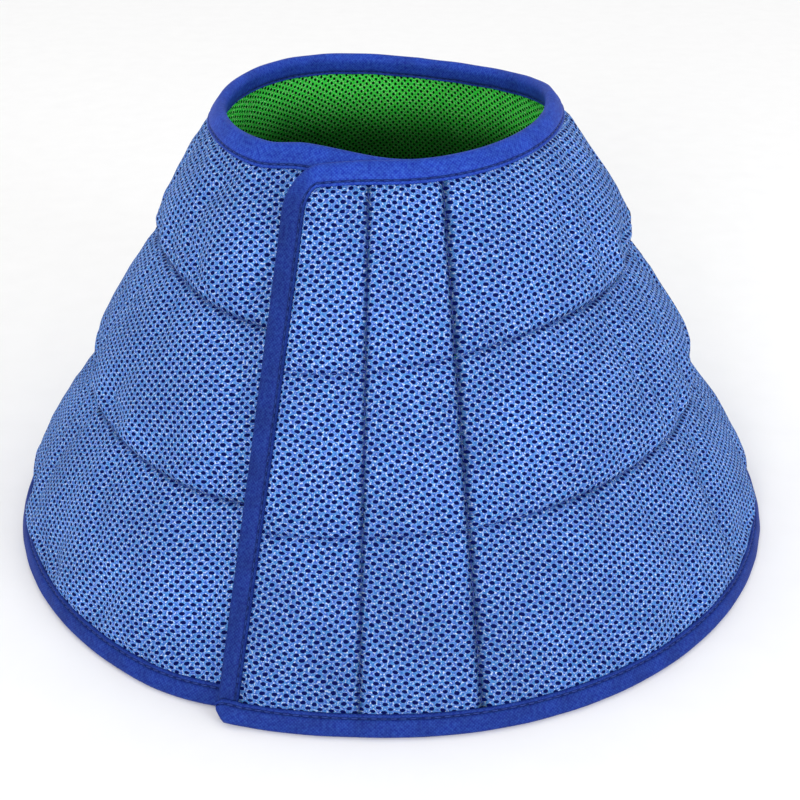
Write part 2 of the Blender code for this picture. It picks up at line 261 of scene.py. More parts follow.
@dataclass(frozen=True)
class Cone:
    """Shape of the wrapped cloth, the same one that the solids are built on."""

    rim_radius: float = 0.1537
    neck_radius: float = 0.0645
    height: float = 0.162
    rim_width: float = 0.982
    neck_width: float = 0.930
    neck_shift: tuple[float, float, float] = (-0.0016, -0.0018, 0.0)
    slide: tuple[float, float, float] = (0.0001596, 0.0000117, 0.0)
    foot_lift: float = 0.0006061
    tape_leg: float = 0.0068
    corner_radius: float = 0.0076
    lower_ring: tuple[float, float, float] = (0.0670, 0.0042, 0.0020)
    upper_ring: tuple[float, float, float] = (0.1240, 0.0095, 0.0070)
    neck_front_dip: float = 0.0015
    neck_saddle: tuple[float, float] = (0.0045, 0.0012)
    neck_rear_tilt: float = 0.0060
    tip_droop: float = 0.0070
    inner_rise: float = 0.0019
    inner_climb: tuple[float, float] = (318, 333)    # azimuths that the rise is spread over
    inner_dip: float = 0.0036
    inner_descent: tuple[float, float] = (332, 370)  # and the dip under the flap
    flap_lift: float = 0.0032
    tuck: float = 0.0056
    tuck_start: float = -0.030
    tuck_end: float = 0.028
    grain_tilt: float = 7.5  # degrees that the knit is turned on the flat cloth

    @cached_property
    def lean(self) -> float:
        """Angle of the cloth from upright, in radians."""
        return atan2(self.rim_radius - self.neck_radius, self.height)

    @cached_property
    def slant_length(self) -> float:
        """Length of cloth between rim and neck."""
        return hypot(self.rim_radius - self.neck_radius, self.height)

    def radius(self, slant: np.ndarray) -> np.ndarray:
        """Front to back radius of the plain cone at a slant."""
        return self.rim_radius - slant * sin(self.lean)

    def line_azimuth(self, line: Line, slant: np.ndarray) -> np.ndarray:
        """Azimuth of a straight line up the cone at a slant."""
        share = np.asarray(slant, float) / self.slant_length
        rim, neck = radians(line.rim), radians(line.neck)
        x = self.rim_radius * sin(rim) * (1 - share) + self.neck_radius * sin(neck) * share
        y = self.rim_radius * cos(rim) * (1 - share) + self.neck_radius * cos(neck) * share
        angle = np.degrees(np.arctan2(x, y))
        return angle + 360 * np.round((line.rim - angle) / 360)

    def past_flap_edge(self, azimuth: np.ndarray, slant: np.ndarray) -> np.ndarray:
        """Distance across the cloth from the flap's edge to a place on the layer beneath."""
        edge = self.line_azimuth(KNOT_LINES[Knot.FLAP_EDGE], slant)
        return np.radians(azimuth - 360 - edge) * self.radius(slant)

    def place(self, azimuth: np.ndarray, slant: np.ndarray, depth: np.ndarray) -> np.ndarray:
        """Points in space.

        Args:
            azimuth: degrees round the cone.
            slant: metres up the cloth.
            depth: metres out of the cloth.

        Returns:
            An array with x, y and z in its last axis.
        """
        azimuth, slant, depth = np.broadcast_arrays(
            *(np.asarray(v, float) for v in (azimuth, slant, depth)))
        tucked = -self.tuck * ease(self.past_flap_edge(azimuth, slant),
                                   self.tuck_start, self.tuck_end)
        lifted = self.flap_lift * (1 - ease(azimuth, -24, 0))
        offset = np.where(azimuth > 180, tucked, lifted)
        reach = self.radius(slant) + offset + depth * cos(self.lean)
        share = slant / self.slant_length
        width = self.rim_width + (self.neck_width - self.rim_width) * share
        turn = np.radians(azimuth)
        rise = self.foot_lift + slant * cos(self.lean) + depth * sin(self.lean)
        plain = np.stack([reach * width * np.sin(turn), -reach * np.cos(turn), rise], axis=-1)
        return plain + share[..., None] * np.array(self.neck_shift) + np.array(self.slide)

    def neck_line(self, azimuth: np.ndarray) -> np.ndarray:
        """Slant of the neck edge."""
        azimuth = np.asarray(azimuth, float)
        turn = np.radians(azimuth)
        sides = (np.where(azimuth > 180, self.neck_saddle[1], self.neck_saddle[0])
                 * np.sin(turn) ** 2)
        tilt = self.neck_rear_tilt * np.maximum(-np.cos(turn), 0) * np.sin(turn)
        dip = self.neck_front_dip * (1 + np.cos(turn)) / 2
        droop = self.tip_droop * np.maximum((2 - azimuth) / 32, 0) ** 3
        inner = (self.inner_rise * ease(azimuth, *self.inner_climb)
                 - self.inner_dip * ease(azimuth, *self.inner_descent))
        return self.slant_length + sides - tilt - dip - droop + inner

    def ring_line(self, ring: tuple[float, float, float], azimuth: np.ndarray) -> np.ndarray:
        """Slant of a ring seam."""
        level, sag, climb = ring
        climbing = ease(azimuth, 150, 290) - ease(azimuth, 290, 345)
        return level - sag * (1 - ease(azimuth, -25, 45)) + climb * climbing

    def tier_slant(self, tier: Tier, azimuth: np.ndarray, slant: np.ndarray) -> np.ndarray:
        """Slant of a line round the cone; the neck's is cut down at the flap's round corner."""
        if tier is Tier.HEM:
            return np.zeros_like(azimuth)
        if tier is Tier.HEM_TAPE:
            return np.full_like(azimuth, self.tape_leg)
        if tier is Tier.LOWER_RING:
            return self.ring_line(self.lower_ring, azimuth)
        if tier is Tier.UPPER_RING:
            return self.ring_line(self.upper_ring, azimuth)
        edge = self.line_azimuth(KNOT_LINES[Knot.FLAP_EDGE], slant)
        across = np.maximum(np.radians(azimuth - edge) * self.radius(slant), 0)
        side = np.clip(self.corner_radius - across, 0, self.corner_radius)
        drop = self.corner_radius - np.sqrt(self.corner_radius ** 2 - side ** 2)
        if tier is Tier.NECK:
            return self.neck_line(azimuth) - drop
        return self.neck_line(azimuth) - self.tape_leg - drop / 2

    def spot(self, column: np.ndarray, row: np.ndarray) -> tuple[np.ndarray, np.ndarray]:
        """Azimuth and slant of grid coordinates.

        Args:
            column: coordinate across the cloth, whole at each Knot.
            row: coordinate up the cloth, whole at each Tier.

        Returns:
            Azimuths in degrees and slants in metres.
        """
        column, row = np.broadcast_arrays(np.asarray(column, float), np.asarray(row, float))
        slant = row / 5 * self.slant_length
        for _ in range(6):
            lines = np.stack([self.line_azimuth(KNOT_LINES[knot], slant) for knot in Knot])
            azimuth = blend_between(lines, column)
            tiers = np.stack([self.tier_slant(tier, azimuth, slant) for tier in Tier])
            slant = blend_between(tiers, row)
        return azimuth, slant

    def flat(self, azimuth: np.ndarray, slant: np.ndarray) -> np.ndarray:
        """Places on the flat cloth before it is wrapped, in metres."""
        reach = self.radius(slant) / sin(self.lean)
        turn = np.radians(azimuth) * sin(self.lean) + radians(self.grain_tilt)
        return np.stack([reach * np.sin(turn), -reach * np.cos(turn)], axis=-1)


def blend_between(lines: np.ndarray, share: np.ndarray) -> np.ndarray:
    """Read a stack of arrays between its layers, at a coordinate that counts the layers."""
    low = np.clip(np.floor(share).astype(int), 0, len(lines) - 2)
    first = np.take_along_axis(lines, low[None], 0)[0]
    second = np.take_along_axis(lines, low[None] + 1, 0)[0]
    return first + (second - first) * (share - low)


CONE = Cone()


class Arc(Enum):
    """Lengths of the collar that each cross one hinge, from the flap round to the inner end."""

    FLAP_TIP = "flap_tip"
    FLAP_COLUMN = "flap_column"
    FRONT_WING = "front_wing"
    SIDE_WING = "side_wing"
    REAR = "rear"


@dataclass(frozen=True)
class ArcPlan:
    """Where an arc runs and which bodies carry it.

    The still body is the one nearer the inner end. A soft piece follows it up to reach metres
    before the hinge line and follows the moving body from reach metres past it.
    """

    first: Knot
    last: Knot
    still: str
    moving: str = ""
    hinge: Knot = Knot.REAR_BEND
    reach: float = 0.0


ARCS = {
    Arc.FLAP_TIP: ArcPlan(Knot.FLAP_EDGE, Knot.COLUMN_CUT, "flap_column", "flap_tip",
                          Knot.TIP_SEAM, 0.005),
    Arc.FLAP_COLUMN: ArcPlan(Knot.COLUMN_CUT, Knot.WING_CUT, "front_wing", "flap_column",
                             Knot.COLUMN_SEAM, 0.006),
    Arc.FRONT_WING: ArcPlan(Knot.WING_CUT, Knot.SIDE_CUT, "side_wing", "front_wing",
                            Knot.SIDE_BEND, 0.022),
    Arc.SIDE_WING: ArcPlan(Knot.SIDE_CUT, Knot.REAR_CUT, "root", "side_wing",
                           Knot.REAR_BEND, 0.022),
    Arc.REAR: ArcPlan(Knot.REAR_CUT, Knot.INNER_EDGE, "root"),
}


def carry(piece: bpy.types.Object, arc: Arc) -> None:
    """Make a piece move with its arc's bodies, bending where the arc crosses its hinge."""
    plan = ARCS[arc]
    if not plan.moving:
        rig.ride(piece, plan.still)
        return
    line = KNOT_LINES[plan.hinge]
    slants = np.array([0.0, 0.5, 1.0]) * CONE.slant_length
    foot, middle, head = CONE.place(CONE.line_azimuth(line, slants), slants, 0.0)
    axis = Vector(head - foot).normalized()
    before = CONE.place(CONE.line_azimuth(line, slants[1]) + 1.0, slants[1], 0.0)
    across = Vector(before - middle)
    across = (across - axis * across.dot(axis)).normalized() * plan.reach
    centre = Vector(middle)
    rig.blend(piece, plan.still, plan.moving, start=centre + across, end=centre - across)


# ---------------------------------------------------------------- grids and meshes

@dataclass(frozen=True)
class Spacing:
    """How closely a grid follows the cloth, in metres."""

    step: float
    beside_seams: tuple[float, ...] = ()


FINE = Spacing(0.0019, (0.0005, 0.0011, 0.0019, 0.0030, 0.0045))
PLAIN = Spacing(0.0030)
COARSE = Spacing(0.0036)


def between(low: int, length: float, spacing: Spacing, crowd: tuple[bool, bool]) -> list[float]:
    """Coordinates from one line up to the next, without the next."""
    marks = [0.0]
    near = [gap for gap in spacing.beside_seams if gap < length / 3]
    if crowd[0]:
        marks += near
    end = length - (near[-1] if crowd[1] and near else 0.0)
    count = max(2, round((end - marks[-1]) / spacing.step))
    marks += list(np.linspace(marks[-1], end, count + 1)[1:])
    if crowd[1] and near:
        marks += [length - gap for gap in reversed(near[:-1])] + [length]
    return [low + mark / length for mark in marks[:-1]]


STITCHED_KNOTS = {Knot.TIP_SEAM, Knot.COLUMN_SEAM, Knot.TAB_SEAM}
STITCHED_TIERS = {Tier.LOWER_RING, Tier.UPPER_RING}


def column_marks(spacing: Spacing) -> np.ndarray:
    """Column coordinates of a grid across the whole cloth."""
    marks = []
    slant = CONE.slant_length * 0.4
    for low, high in zip(list(Knot), list(Knot)[1:]):
        turn = (CONE.line_azimuth(KNOT_LINES[high], slant)
                - CONE.line_azimuth(KNOT_LINES[low], slant))
        length = float(np.radians(turn) * CONE.radius(slant))
        crowd = (low in STITCHED_KNOTS, high in STITCHED_KNOTS)
        marks += between(int(low), length, spacing, crowd)
    return np.array(marks + [float(Knot.INNER_EDGE)])


def row_marks(spacing: Spacing) -> np.ndarray:
    """Row coordinates of a grid up the whole cloth."""
    marks = []
    for low, high in zip(list(Tier), list(Tier)[1:]):
        slants = [float(CONE.tier_slant(t, np.array(60.0), np.array(0.1))) for t in (low, high)]
        crowd = (low in STITCHED_TIERS, high in STITCHED_TIERS)
        marks += between(int(low), slants[1] - slants[0], spacing, crowd)
    return np.array(marks + [float(Tier.NECK)])


def trimmed(marks: np.ndarray, low: float, high: float) -> np.ndarray:
    """Marks between two coordinates, with both of them included."""
    inside = marks[(marks > low + 1e-3) & (marks < high - 1e-3)]
    return np.concatenate([[low], inside, [high]])


def quads(columns: int, rows: int, start: int = 0, turned: bool = False) -> list[tuple]:
    """Faces of a grid whose points run up the rows, column by column."""
    first = start + (np.arange(columns - 1)[:, None] * rows + np.arange(rows - 1)).ravel()
    faces = np.stack([first, first + rows, first + rows + 1, first + 1], axis=1)
    return [tuple(face) for face in (faces[:, ::-1] if turned else faces).tolist()]


def rim_quads(columns: int, rows: int) -> list[tuple]:
    """Faces that join the edges of two like grids, the second right after the first."""
    loop = [c * rows for c in range(columns)]
    loop += [(columns - 1) * rows + r for r in range(1, rows)]
    loop += [c * rows + rows - 1 for c in range(columns - 2, -1, -1)]
    loop += [r for r in range(rows - 2, 0, -1)]
    step = columns * rows
    return [(b, a, a + step, b + step) for a, b in zip(loop, loop[1:] + loop[:1])]


def make_piece(name: str, points: np.ndarray, faces: list[tuple],
               material: bpy.types.Material, slot: str, flat_mm: np.ndarray | None = None,
               shade: np.ndarray | None = None, sharp: float = 50.0) -> bpy.types.Object:
    """Make a smooth mesh piece and link it.

    Args:
        name: the piece's name.
        points: its points, one row each.
        faces: its faces, as indices of points.
        material: its finish.
        slot: the material slot that the finish belongs to.
        flat_mm: each point's place on the flat cloth, for the pattern.
        shade: each point's painted shade, from 0 to 1.
        sharp: edges that turn more than this many degrees stay crisp.

    Returns:
        The new object.
    """
    mesh = bpy.data.meshes.new(name)
    mesh.from_pydata(points.tolist(), [], faces)
    mesh.validate()
    if flat_mm is not None:
        layer = mesh.uv_layers.new(name=PATTERN_MAP)
        corners = np.empty(len(mesh.loops), dtype=np.int32)
        mesh.loops.foreach_get("vertex_index", corners)
        layer.data.foreach_set("uv", flat_mm[corners].astype(np.float32).ravel())
    if shade is not None:
        layer = mesh.attributes.new(PAINTED_SHADE, "FLOAT", "POINT")
        layer.data.foreach_set("value", shade.astype(np.float32).ravel())
    mesh.shade_smooth()
    mesh.set_sharp_from_angle(angle=radians(sharp))
    mesh.materials.append(material)
    piece = bpy.data.objects.new(name, mesh)
    bpy.context.scene.collection.objects.link(piece)
    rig.slot(piece, slot)
    return piece


def make_shell(name: str, azimuth: np.ndarray, slant: np.ndarray, outer: np.ndarray,
               inner: np.ndarray, material: bpy.types.Material, slot: str,
               shade: np.ndarray | None = None) -> bpy.types.Object:
    """Make a closed layer of cloth between two depths.

    Args:
        name: the piece's name.
        azimuth: degrees of each grid point, columns by rows, as are the arrays that follow.
        slant: metres up the cloth.
        outer: depth of the outer face.
        inner: depth of the inner face.
        material: its finish.
        slot: the material slot that the finish belongs to.
        shade: painted shade of each grid point.

    Returns:
        The new object.
    """
    columns, rows = azimuth.shape
    faces = quads(columns, rows) + quads(columns, rows, columns * rows, True)
    faces += rim_quads(columns, rows)
    points = np.concatenate([CONE.place(azimuth, slant, depth).reshape(-1, 3)
                             for depth in (outer, inner)])
    flat = np.tile(CONE.flat(azimuth, slant).reshape(-1, 2) / MM, (2, 1))
    both = None if shade is None else np.tile(shade.ravel(), 2)
    return make_piece(name, points, faces, material, slot, flat, both)


# ---------------------------------------------------------------- finishes

def linear(colour: str) -> tuple[float, float, float, float]:
    """Turn an sRGB hex colour to linear light."""
    parts = [int(colour[i:i + 2], 16) / 255 for i in (1, 3, 5)]
    return (*(p / 12.92 if p <= 0.04045 else ((p + 0.055) / 1.055) ** 2.4 for p in parts), 1.0)


def add(tree: bpy.types.NodeTree, kind: str, inputs: dict | None = None,
        **settings: object) -> bpy.types.Node:
    """Add a shader node.

    Args:
        tree: the material's node tree.
        kind: the node's type, without its ShaderNode prefix.
        inputs: a value or an output socket for each input, by name or number.
        **settings: properties of the node.

    Returns:
        The new node.
    """
    made = tree.nodes.new("ShaderNode" + kind)
    for key, value in settings.items():
        setattr(made, key, value)
    for key, value in (inputs or {}).items():
        if isinstance(value, bpy.types.NodeSocket):
            tree.links.new(value, made.inputs[key])
        else:
            made.inputs[key].default_value = value
    return made


def new_material(name: str) -> tuple[bpy.types.Material, bpy.types.NodeTree, bpy.types.Node]:
    """An empty material, its tree and its surface shader."""
    material = bpy.data.materials.new(name)
    material.use_nodes = True
    tree = material.node_tree
    return material, tree, tree.nodes["Principled BSDF"]


@dataclass(frozen=True)
class AirMesh:
    """Polyester spacer fabric, warp knitted with open cells.

    The eye gets rows of round holes, painted dark as shade, between pale shining yarns, and
    a darker, duller knit, painted shade, where stitching has pressed it into a crease.
    """

    name: str
    yarn: str        # yarn that catches the light beside a hole
    ground: str      # yarn between the holes
    fleck: str       # filaments that glint
    cool: str        # hue that some of the yarn leans towards
    hole: str        # painted shade: the shadowed inside of the fabric, seen through a hole
    pitch: float = 3.75      # mm between holes along a row
    rows: float = 1.50       # mm between staggered rows
    hole_size: tuple[float, float] = (1.80, 1.26)  # mm across and up
    seam_tint: float = 0.3   # share of the knit's brightness left where the painted shade is full
    filament: float = 0.75   # mm; real filaments lie about 0.1 mm apart, too fine to show

    def make(self) -> bpy.types.Material:
        """The finished material."""
        material, tree, shader = new_material(self.name)
        place = add(tree, "UVMap", uv_map=PATTERN_MAP).outputs["UV"]
        drift = add(tree, "TexNoise", {"Vector": place, "Scale": 0.35, "Detail": 1.0},
                    noise_dimensions="2D")
        shifted = add(tree, "VectorMath", {0: drift.outputs["Color"], 1: (0.35, 0.35, 0.0),
                                           2: place}, operation="MULTIPLY_ADD").outputs[0]
        cell = (1 / self.pitch, 0.5 / self.rows, 0.0)
        spots = []
        for start in (0.0, 0.5):
            counted = add(tree, "VectorMath", {0: shifted, 1: cell, 2: (start, start, 0.0)},
                          operation="MULTIPLY_ADD").outputs[0]
            within = add(tree, "VectorMath", {0: counted}, operation="FRACTION").outputs[0]
            span = (2 * self.pitch / self.hole_size[0], 4 * self.rows / self.hole_size[1], 0.0)
            centred = add(tree, "VectorMath", {0: within, 1: span,
                                               2: (-span[0] / 2, -span[1] / 2, 0.0)},
                          operation="MULTIPLY_ADD").outputs[0]
            off_centre = add(tree, "VectorMath", {0: centred}, operation="LENGTH")
            spots.append(off_centre.outputs["Value"])
        nearest = add(tree, "Math", {0: spots[0], 1: spots[1]}, operation="MINIMUM").outputs[0]
        grain = add(tree, "TexNoise", {"Vector": place, "Scale": 1.1, "Detail": 3.0},
                    noise_dimensions="2D").outputs["Fac"]
        ragged = add(tree, "Math", {0: grain, 1: 0.4, 2: nearest},
                     operation="MULTIPLY_ADD").outputs[0]
        solid = add(tree, "MapRange", {"Value": ragged, "From Min": 1.08, "From Max": 1.32},
                    interpolation_type="SMOOTHSTEP").outputs[0]
        away = add(tree, "MapRange", {"Value": ragged, "From Min": 1.35, "From Max": 2.35},
                   interpolation_type="SMOOTHSTEP").outputs[0]
        strands = [add(tree, "TexWave", {"Vector": place, "Scale": 0.31 / self.filament,
                                         "Distortion": 1.2, "Detail": 1.0,
                                         "Phase Offset": offset},
                       bands_direction="DIAGONAL" if offset else "Y").outputs["Fac"]
                   for offset in (0.0, 1.3)]
        twist = add(tree, "Math", {0: strands[0], 1: strands[1]}, operation="MULTIPLY").outputs[0]
        duller = add(tree, "Math", {0: twist, 1: -0.45, 2: away},
                     operation="MULTIPLY_ADD", use_clamp=True).outputs[0]
        knit = add(tree, "Mix", {"Factor": duller, 6: linear(self.yarn), 7: linear(self.ground)},
                   data_type="RGBA").outputs[2]
        sparks = add(tree, "TexNoise", {"Vector": place, "Scale": 1.5, "Detail": 2.0},
                     noise_dimensions="2D").outputs["Fac"]
        glint = add(tree, "MapRange", {"Value": sparks, "From Min": 0.55, "From Max": 0.74,
                                       "To Max": 0.85}).outputs[0]
        hue = add(tree, "TexNoise", {"Vector": place, "Scale": 0.55, "Detail": 2.0},
                  noise_dimensions="2D").outputs["Fac"]
        lean = add(tree, "MapRange", {"Value": hue, "From Min": 0.42, "From Max": 0.66,
                                      "To Max": 0.6}).outputs[0]
        cooled = add(tree, "Mix", {"Factor": lean, 6: knit, 7: linear(self.cool)},
                     data_type="RGBA").outputs[2]
        lively = add(tree, "Mix", {"Factor": glint, 6: cooled, 7: linear(self.fleck)},
                     data_type="RGBA").outputs[2]
        # painted shade: the knit is drawn darker where the shade attribute is high
        painted_shade_level = add(tree, "Attribute", attribute_name=PAINTED_SHADE).outputs["Fac"]
        shade = add(tree, "MapRange", {"Value": painted_shade_level, "To Min": 1.0, "To Max": self.seam_tint})
        painted_shade_knit = add(tree, "VectorMath", {0: lively, "Scale": shade.outputs[0]},
                     operation="SCALE").outputs[0]
        patch = add(tree, "TexNoise", {"Vector": place, "Scale": 0.045, "Detail": 2.0},
                    noise_dimensions="2D").outputs["Fac"]
        wear = add(tree, "MapRange", {"Value": patch, "From Min": 0.3, "From Max": 0.7,
                                      "To Min": 0.90, "To Max": 1.08}).outputs[0]
        varied = add(tree, "VectorMath", {0: painted_shade_knit, "Scale": wear}, operation="SCALE").outputs[0]
        # the holes take the hole colour, painted as the shade inside them
        colour = add(tree, "Mix", {"Factor": solid, 6: linear(self.hole), 7: varied},
                     data_type="RGBA").outputs[2]
        dome = add(tree, "Math", {0: duller, 1: -0.35, 2: solid},
                   operation="MULTIPLY_ADD").outputs[0]
        height = add(tree, "Math", {0: twist, 1: 0.30, 2: dome},
                     operation="MULTIPLY_ADD").outputs[0]
        bump = add(tree, "Bump", {"Height": height, "Strength": 0.75, "Distance": 0.45 * MM})
        tree.links.new(colour, shader.inputs["Base Color"])
        tree.links.new(bump.outputs[0], shader.inputs["Normal"])
        shader.inputs["Roughness"].default_value = 0.7
        shader.inputs["IOR"].default_value = 1.5
        shader.inputs["Specular IOR Level"].default_value = 0.05
        return material


@dataclass(frozen=True)
class BiasTape:
    """Woven polyester tape, cut on the bias and folded.

    The eye gets an even, slightly silky surface with fine threads at 45 degrees and a faint
    unevenness in the dye.
    """

    name: str
    light: str
    deep: str
    thread: float = 0.8  # mm; real threads lie 0.3 mm apart, drawn coarser to show

    def make(self) -> bpy.types.Material:
        """The finished material."""
        material, tree, shader = new_material(self.name)
        place = add(tree, "UVMap", uv_map=PATTERN_MAP).outputs["UV"]
        turned = add(tree, "VectorRotate", {"Vector": place, "Angle": pi / 4},
                     rotation_type="Z_AXIS").outputs[0]
        warp, weft = (add(tree, "TexWave", {"Vector": turned, "Scale": 0.31 / self.thread,
                                            "Distortion": 0.6}, bands_direction=way).outputs["Fac"]
                      for way in "XY")
        weave = add(tree, "Math", {0: warp, 1: weft}, operation="MULTIPLY").outputs[0]
        fleck = add(tree, "TexNoise", {"Vector": place, "Scale": 0.9, "Detail": 4.0},
                    noise_dimensions="2D").outputs["Fac"]
        mixed = add(tree, "Math", {0: weave, 1: 0.35, 2: fleck},
                    operation="MULTIPLY_ADD").outputs[0]
        spread = add(tree, "MapRange", {"Value": mixed, "From Min": 0.35, "From Max": 0.95})
        patch = add(tree, "TexNoise", {"Vector": place, "Scale": 0.12, "Detail": 2.0},
                    noise_dimensions="2D").outputs["Fac"]
        wear = add(tree, "MapRange", {"Value": patch, "From Min": 0.3, "From Max": 0.7,
                                      "To Min": 0.88, "To Max": 1.1}).outputs[0]
        cloth = add(tree, "Mix", {"Factor": spread.outputs[0], 6: linear(self.deep),
                                  7: linear(self.light)}, data_type="RGBA").outputs[2]
        # painted shade: the tape keeps 0.28 of its brightness where the shade is full
        painted_shade_level = add(tree, "Attribute", attribute_name=PAINTED_SHADE).outputs["Fac"]
        shade = add(tree, "MapRange", {"Value": painted_shade_level, "To Min": 1.0, "To Max": 0.28})
        both = add(tree, "Math", {0: shade.outputs[0], 1: wear}, operation="MULTIPLY").outputs[0]
        colour = add(tree, "VectorMath", {0: cloth, "Scale": both}, operation="SCALE").outputs[0]
        bump = add(tree, "Bump", {"Height": mixed, "Strength": 0.35, "Distance": 0.15 * MM})
        tree.links.new(colour, shader.inputs["Base Color"])
        tree.links.new(bump.outputs[0], shader.inputs["Normal"])
        shader.inputs["Roughness"].default_value = 0.6
        shader.inputs["IOR"].default_value = 1.5
        shader.inputs["Specular IOR Level"].default_value = 0.08
        shader.inputs["Sheen Weight"].default_value = 0.05
        shader.inputs["Sheen Roughness"].default_value = 0.4
        shader.inputs["Sheen Tint"].default_value = linear(self.light)
        return material


@dataclass(frozen=True)
class PlainGoods:
    """Thread, foam, moulded hooks or brushed loops: one colour with a fine grain.

    The eye gets soft unevenness from the grain, at the grit given.
    """

    name: str
    light: str
    deep: str
    grit: float        # mm between grains
    relief: float      # mm of bump
    roughness: float
    sheen: float = 0.0

    def make(self) -> bpy.types.Material:
        """The finished material."""
        material, tree, shader = new_material(self.name)
        place = add(tree, "TexCoord").outputs["Object"]
        grain = add(tree, "TexNoise", {"Vector": place, "Scale": 1 / (self.grit * MM),
                                       "Detail": 4.0, "Roughness": 0.6}).outputs["Fac"]
        spread = add(tree, "MapRange", {"Value": grain, "From Min": 0.3, "From Max": 0.7})
        colour = add(tree, "Mix", {"Factor": spread.outputs[0], 6: linear(self.deep),
                                   7: linear(self.light)}, data_type="RGBA").outputs[2]
        bump = add(tree, "Bump", {"Height": grain, "Strength": 0.6,
                                  "Distance": self.relief * MM})
        tree.links.new(colour, shader.inputs["Base Color"])
        tree.links.new(bump.outputs[0], shader.inputs["Normal"])
        shader.inputs["Roughness"].default_value = self.roughness
        shader.inputs["IOR"].default_value = 1.5
        shader.inputs["Specular IOR Level"].default_value = 0.25
        shader.inputs["Sheen Weight"].default_value = self.sheen
        shader.inputs["Sheen Tint"].default_value = linear(self.light)
        return material


# ---------------------------------------------------------------- padding

@dataclass
class Padding:
    """The puffed surface of the quilt, blown up by a cloth simulation between its seams."""

    crown: float = 0.0046         # how far a full band stands out of its seams
    most: float = 0.0062          # the foam lets the cloth stand out no further
    plumpness: float = 0.88       # under 1, so that a band is full close up to its seams
    sag: float = 0.30             # how far the filling has slipped down within each band
    right_fullness: float = 0.55  # the two upper bands are fuller on the right
    right_place: tuple[float, float] = (92, 38)  # azimuth of their fullest place, and its spread
    hem_free: tuple[float, float] = (0.0072, 0.0100)   # flat under the tape, then free of it,
    neck_free: tuple[float, float] = (0.0084, 0.0115)  # by distance from the hem, the neck
    edge_free: tuple[float, float] = (0.0084, 0.0112)  # and the flap's edge
    groove: float = 0.0009        # how deep the stitching pulls a seam in
    groove_width: float = 0.0011
    low_front_shade: float = 0.24  # painted shade: the flap is drawn darker towards the hem
    low_front_slants: tuple[float, float] = (0.010, 0.095)
    low_front_place: tuple[float, float] = (-4, 42)  # azimuth of the middle, and its spread
    ring_shade: float = 0.6       # painted shade in the ring seams' creases, lighter since the rings are sewn less tightly than the flap's seams
    ring_slack: float = 0.35      # share of the pull left where the rings cross the flap
    ring_firms: tuple[float, float] = (14, 34)  # azimuths between which they get firm
    flap_pulls: tuple[tuple[Knot, float], ...] = ((Knot.TIP_SEAM, 0.8), (Knot.COLUMN_SEAM, 1.6))
    pucker: float = 0.00032       # height of the small gathers beside a ring seam
    pucker_reach: float = 0.006
    unevenness: float = 0.00022
    frames: int = 20
    pressure: float = 4.0
    spare_cloth: float = -0.02    # negative, so that the cloth is cut larger than its frame

    def __post_init__(self) -> None:
        """Run the simulation, once, for the whole cloth."""
        columns, rows = column_marks(COARSE), row_marks(COARSE)
        azimuth, slant = CONE.spot(columns[:, None], rows[None, :])
        sewn = self.sewn(columns, rows, azimuth, slant)
        lift = self.blown_up(azimuth, slant, sewn)
        full = np.percentile(lift[~sewn], 90)
        lift = lift * self.crown / full
        self.lift = self.most * np.tanh(lift / self.most)
        self.columns, self.rows = columns, rows
        LOG.info("padding: crown %.1f mm, highest %.1f mm", self.crown / MM, self.lift.max() / MM)

    def sewn(self, columns: np.ndarray, rows: np.ndarray, azimuth: np.ndarray,
             slant: np.ndarray) -> np.ndarray:
        """Grid points that are stitched down, as true or false."""
        edge = CONE.line_azimuth(KNOT_LINES[Knot.FLAP_EDGE], slant)
        across = np.radians(azimuth - edge) * CONE.radius(slant)
        held = (across < CONE.tape_leg) | (columns[:, None] >= Knot.TAB_SEAM - 1e-6)
        held |= (rows[None, :] <= Tier.HEM_TAPE + 1e-6) | (rows[None, :] >= Tier.NECK_TAPE - 1e-6)
        for tier in STITCHED_TIERS:
            held |= np.isclose(rows, tier)[None, :]
        for knot in (Knot.TIP_SEAM, Knot.COLUMN_SEAM):
            held |= np.isclose(columns, knot)[:, None]
        return held

    def blown_up(self, azimuth: np.ndarray, slant: np.ndarray, sewn: np.ndarray) -> np.ndarray:
        """Height of the cloth at each grid point after the simulation."""
        columns, rows = azimuth.shape
        flat = CONE.flat(azimuth, slant)
        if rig.quick():
            return self.guessed(sewn)
        points = np.concatenate([flat, np.zeros((columns, rows, 1))], axis=2).reshape(-1, 3)
        mesh = bpy.data.meshes.new("blown_cloth")
        mesh.from_pydata(points.tolist(), [], quads(columns, rows))
        cloth = bpy.data.objects.new("blown_cloth", mesh)
        bpy.context.scene.collection.objects.link(cloth)
        held = cloth.vertex_groups.new(name="sewn")
        held.add(np.flatnonzero(sewn.ravel()).tolist(), 1.0, "REPLACE")
        modifier = cloth.modifiers.new("blow", "CLOTH")
        settings = modifier.settings
        settings.quality = 6
        settings.mass = 0.3
        settings.tension_stiffness = settings.compression_stiffness = 15.0
        settings.shear_stiffness = 5.0
        settings.bending_stiffness = 0.5
        settings.vertex_group_mass = held.name
        settings.use_pressure = True
        settings.uniform_pressure_force = self.pressure
        settings.shrink_min = self.spare_cloth
        settings.effector_weights.gravity = 0.0
        modifier.collision_settings.use_collision = False
        modifier.point_cache.frame_end = self.frames
        for moment in range(1, self.frames + 1):
            bpy.context.scene.frame_set(moment)
        shaped = cloth.evaluated_get(bpy.context.evaluated_depsgraph_get()).to_mesh()
        found = np.empty(len(shaped.vertices) * 3, dtype=np.float32)
        shaped.vertices.foreach_get("co", found)
        bpy.context.scene.frame_set(1)
        bpy.data.objects.remove(cloth)
        bpy.data.meshes.remove(mesh)
        return np.abs(found.reshape(columns, rows, 3)[..., 2]).astype(float)

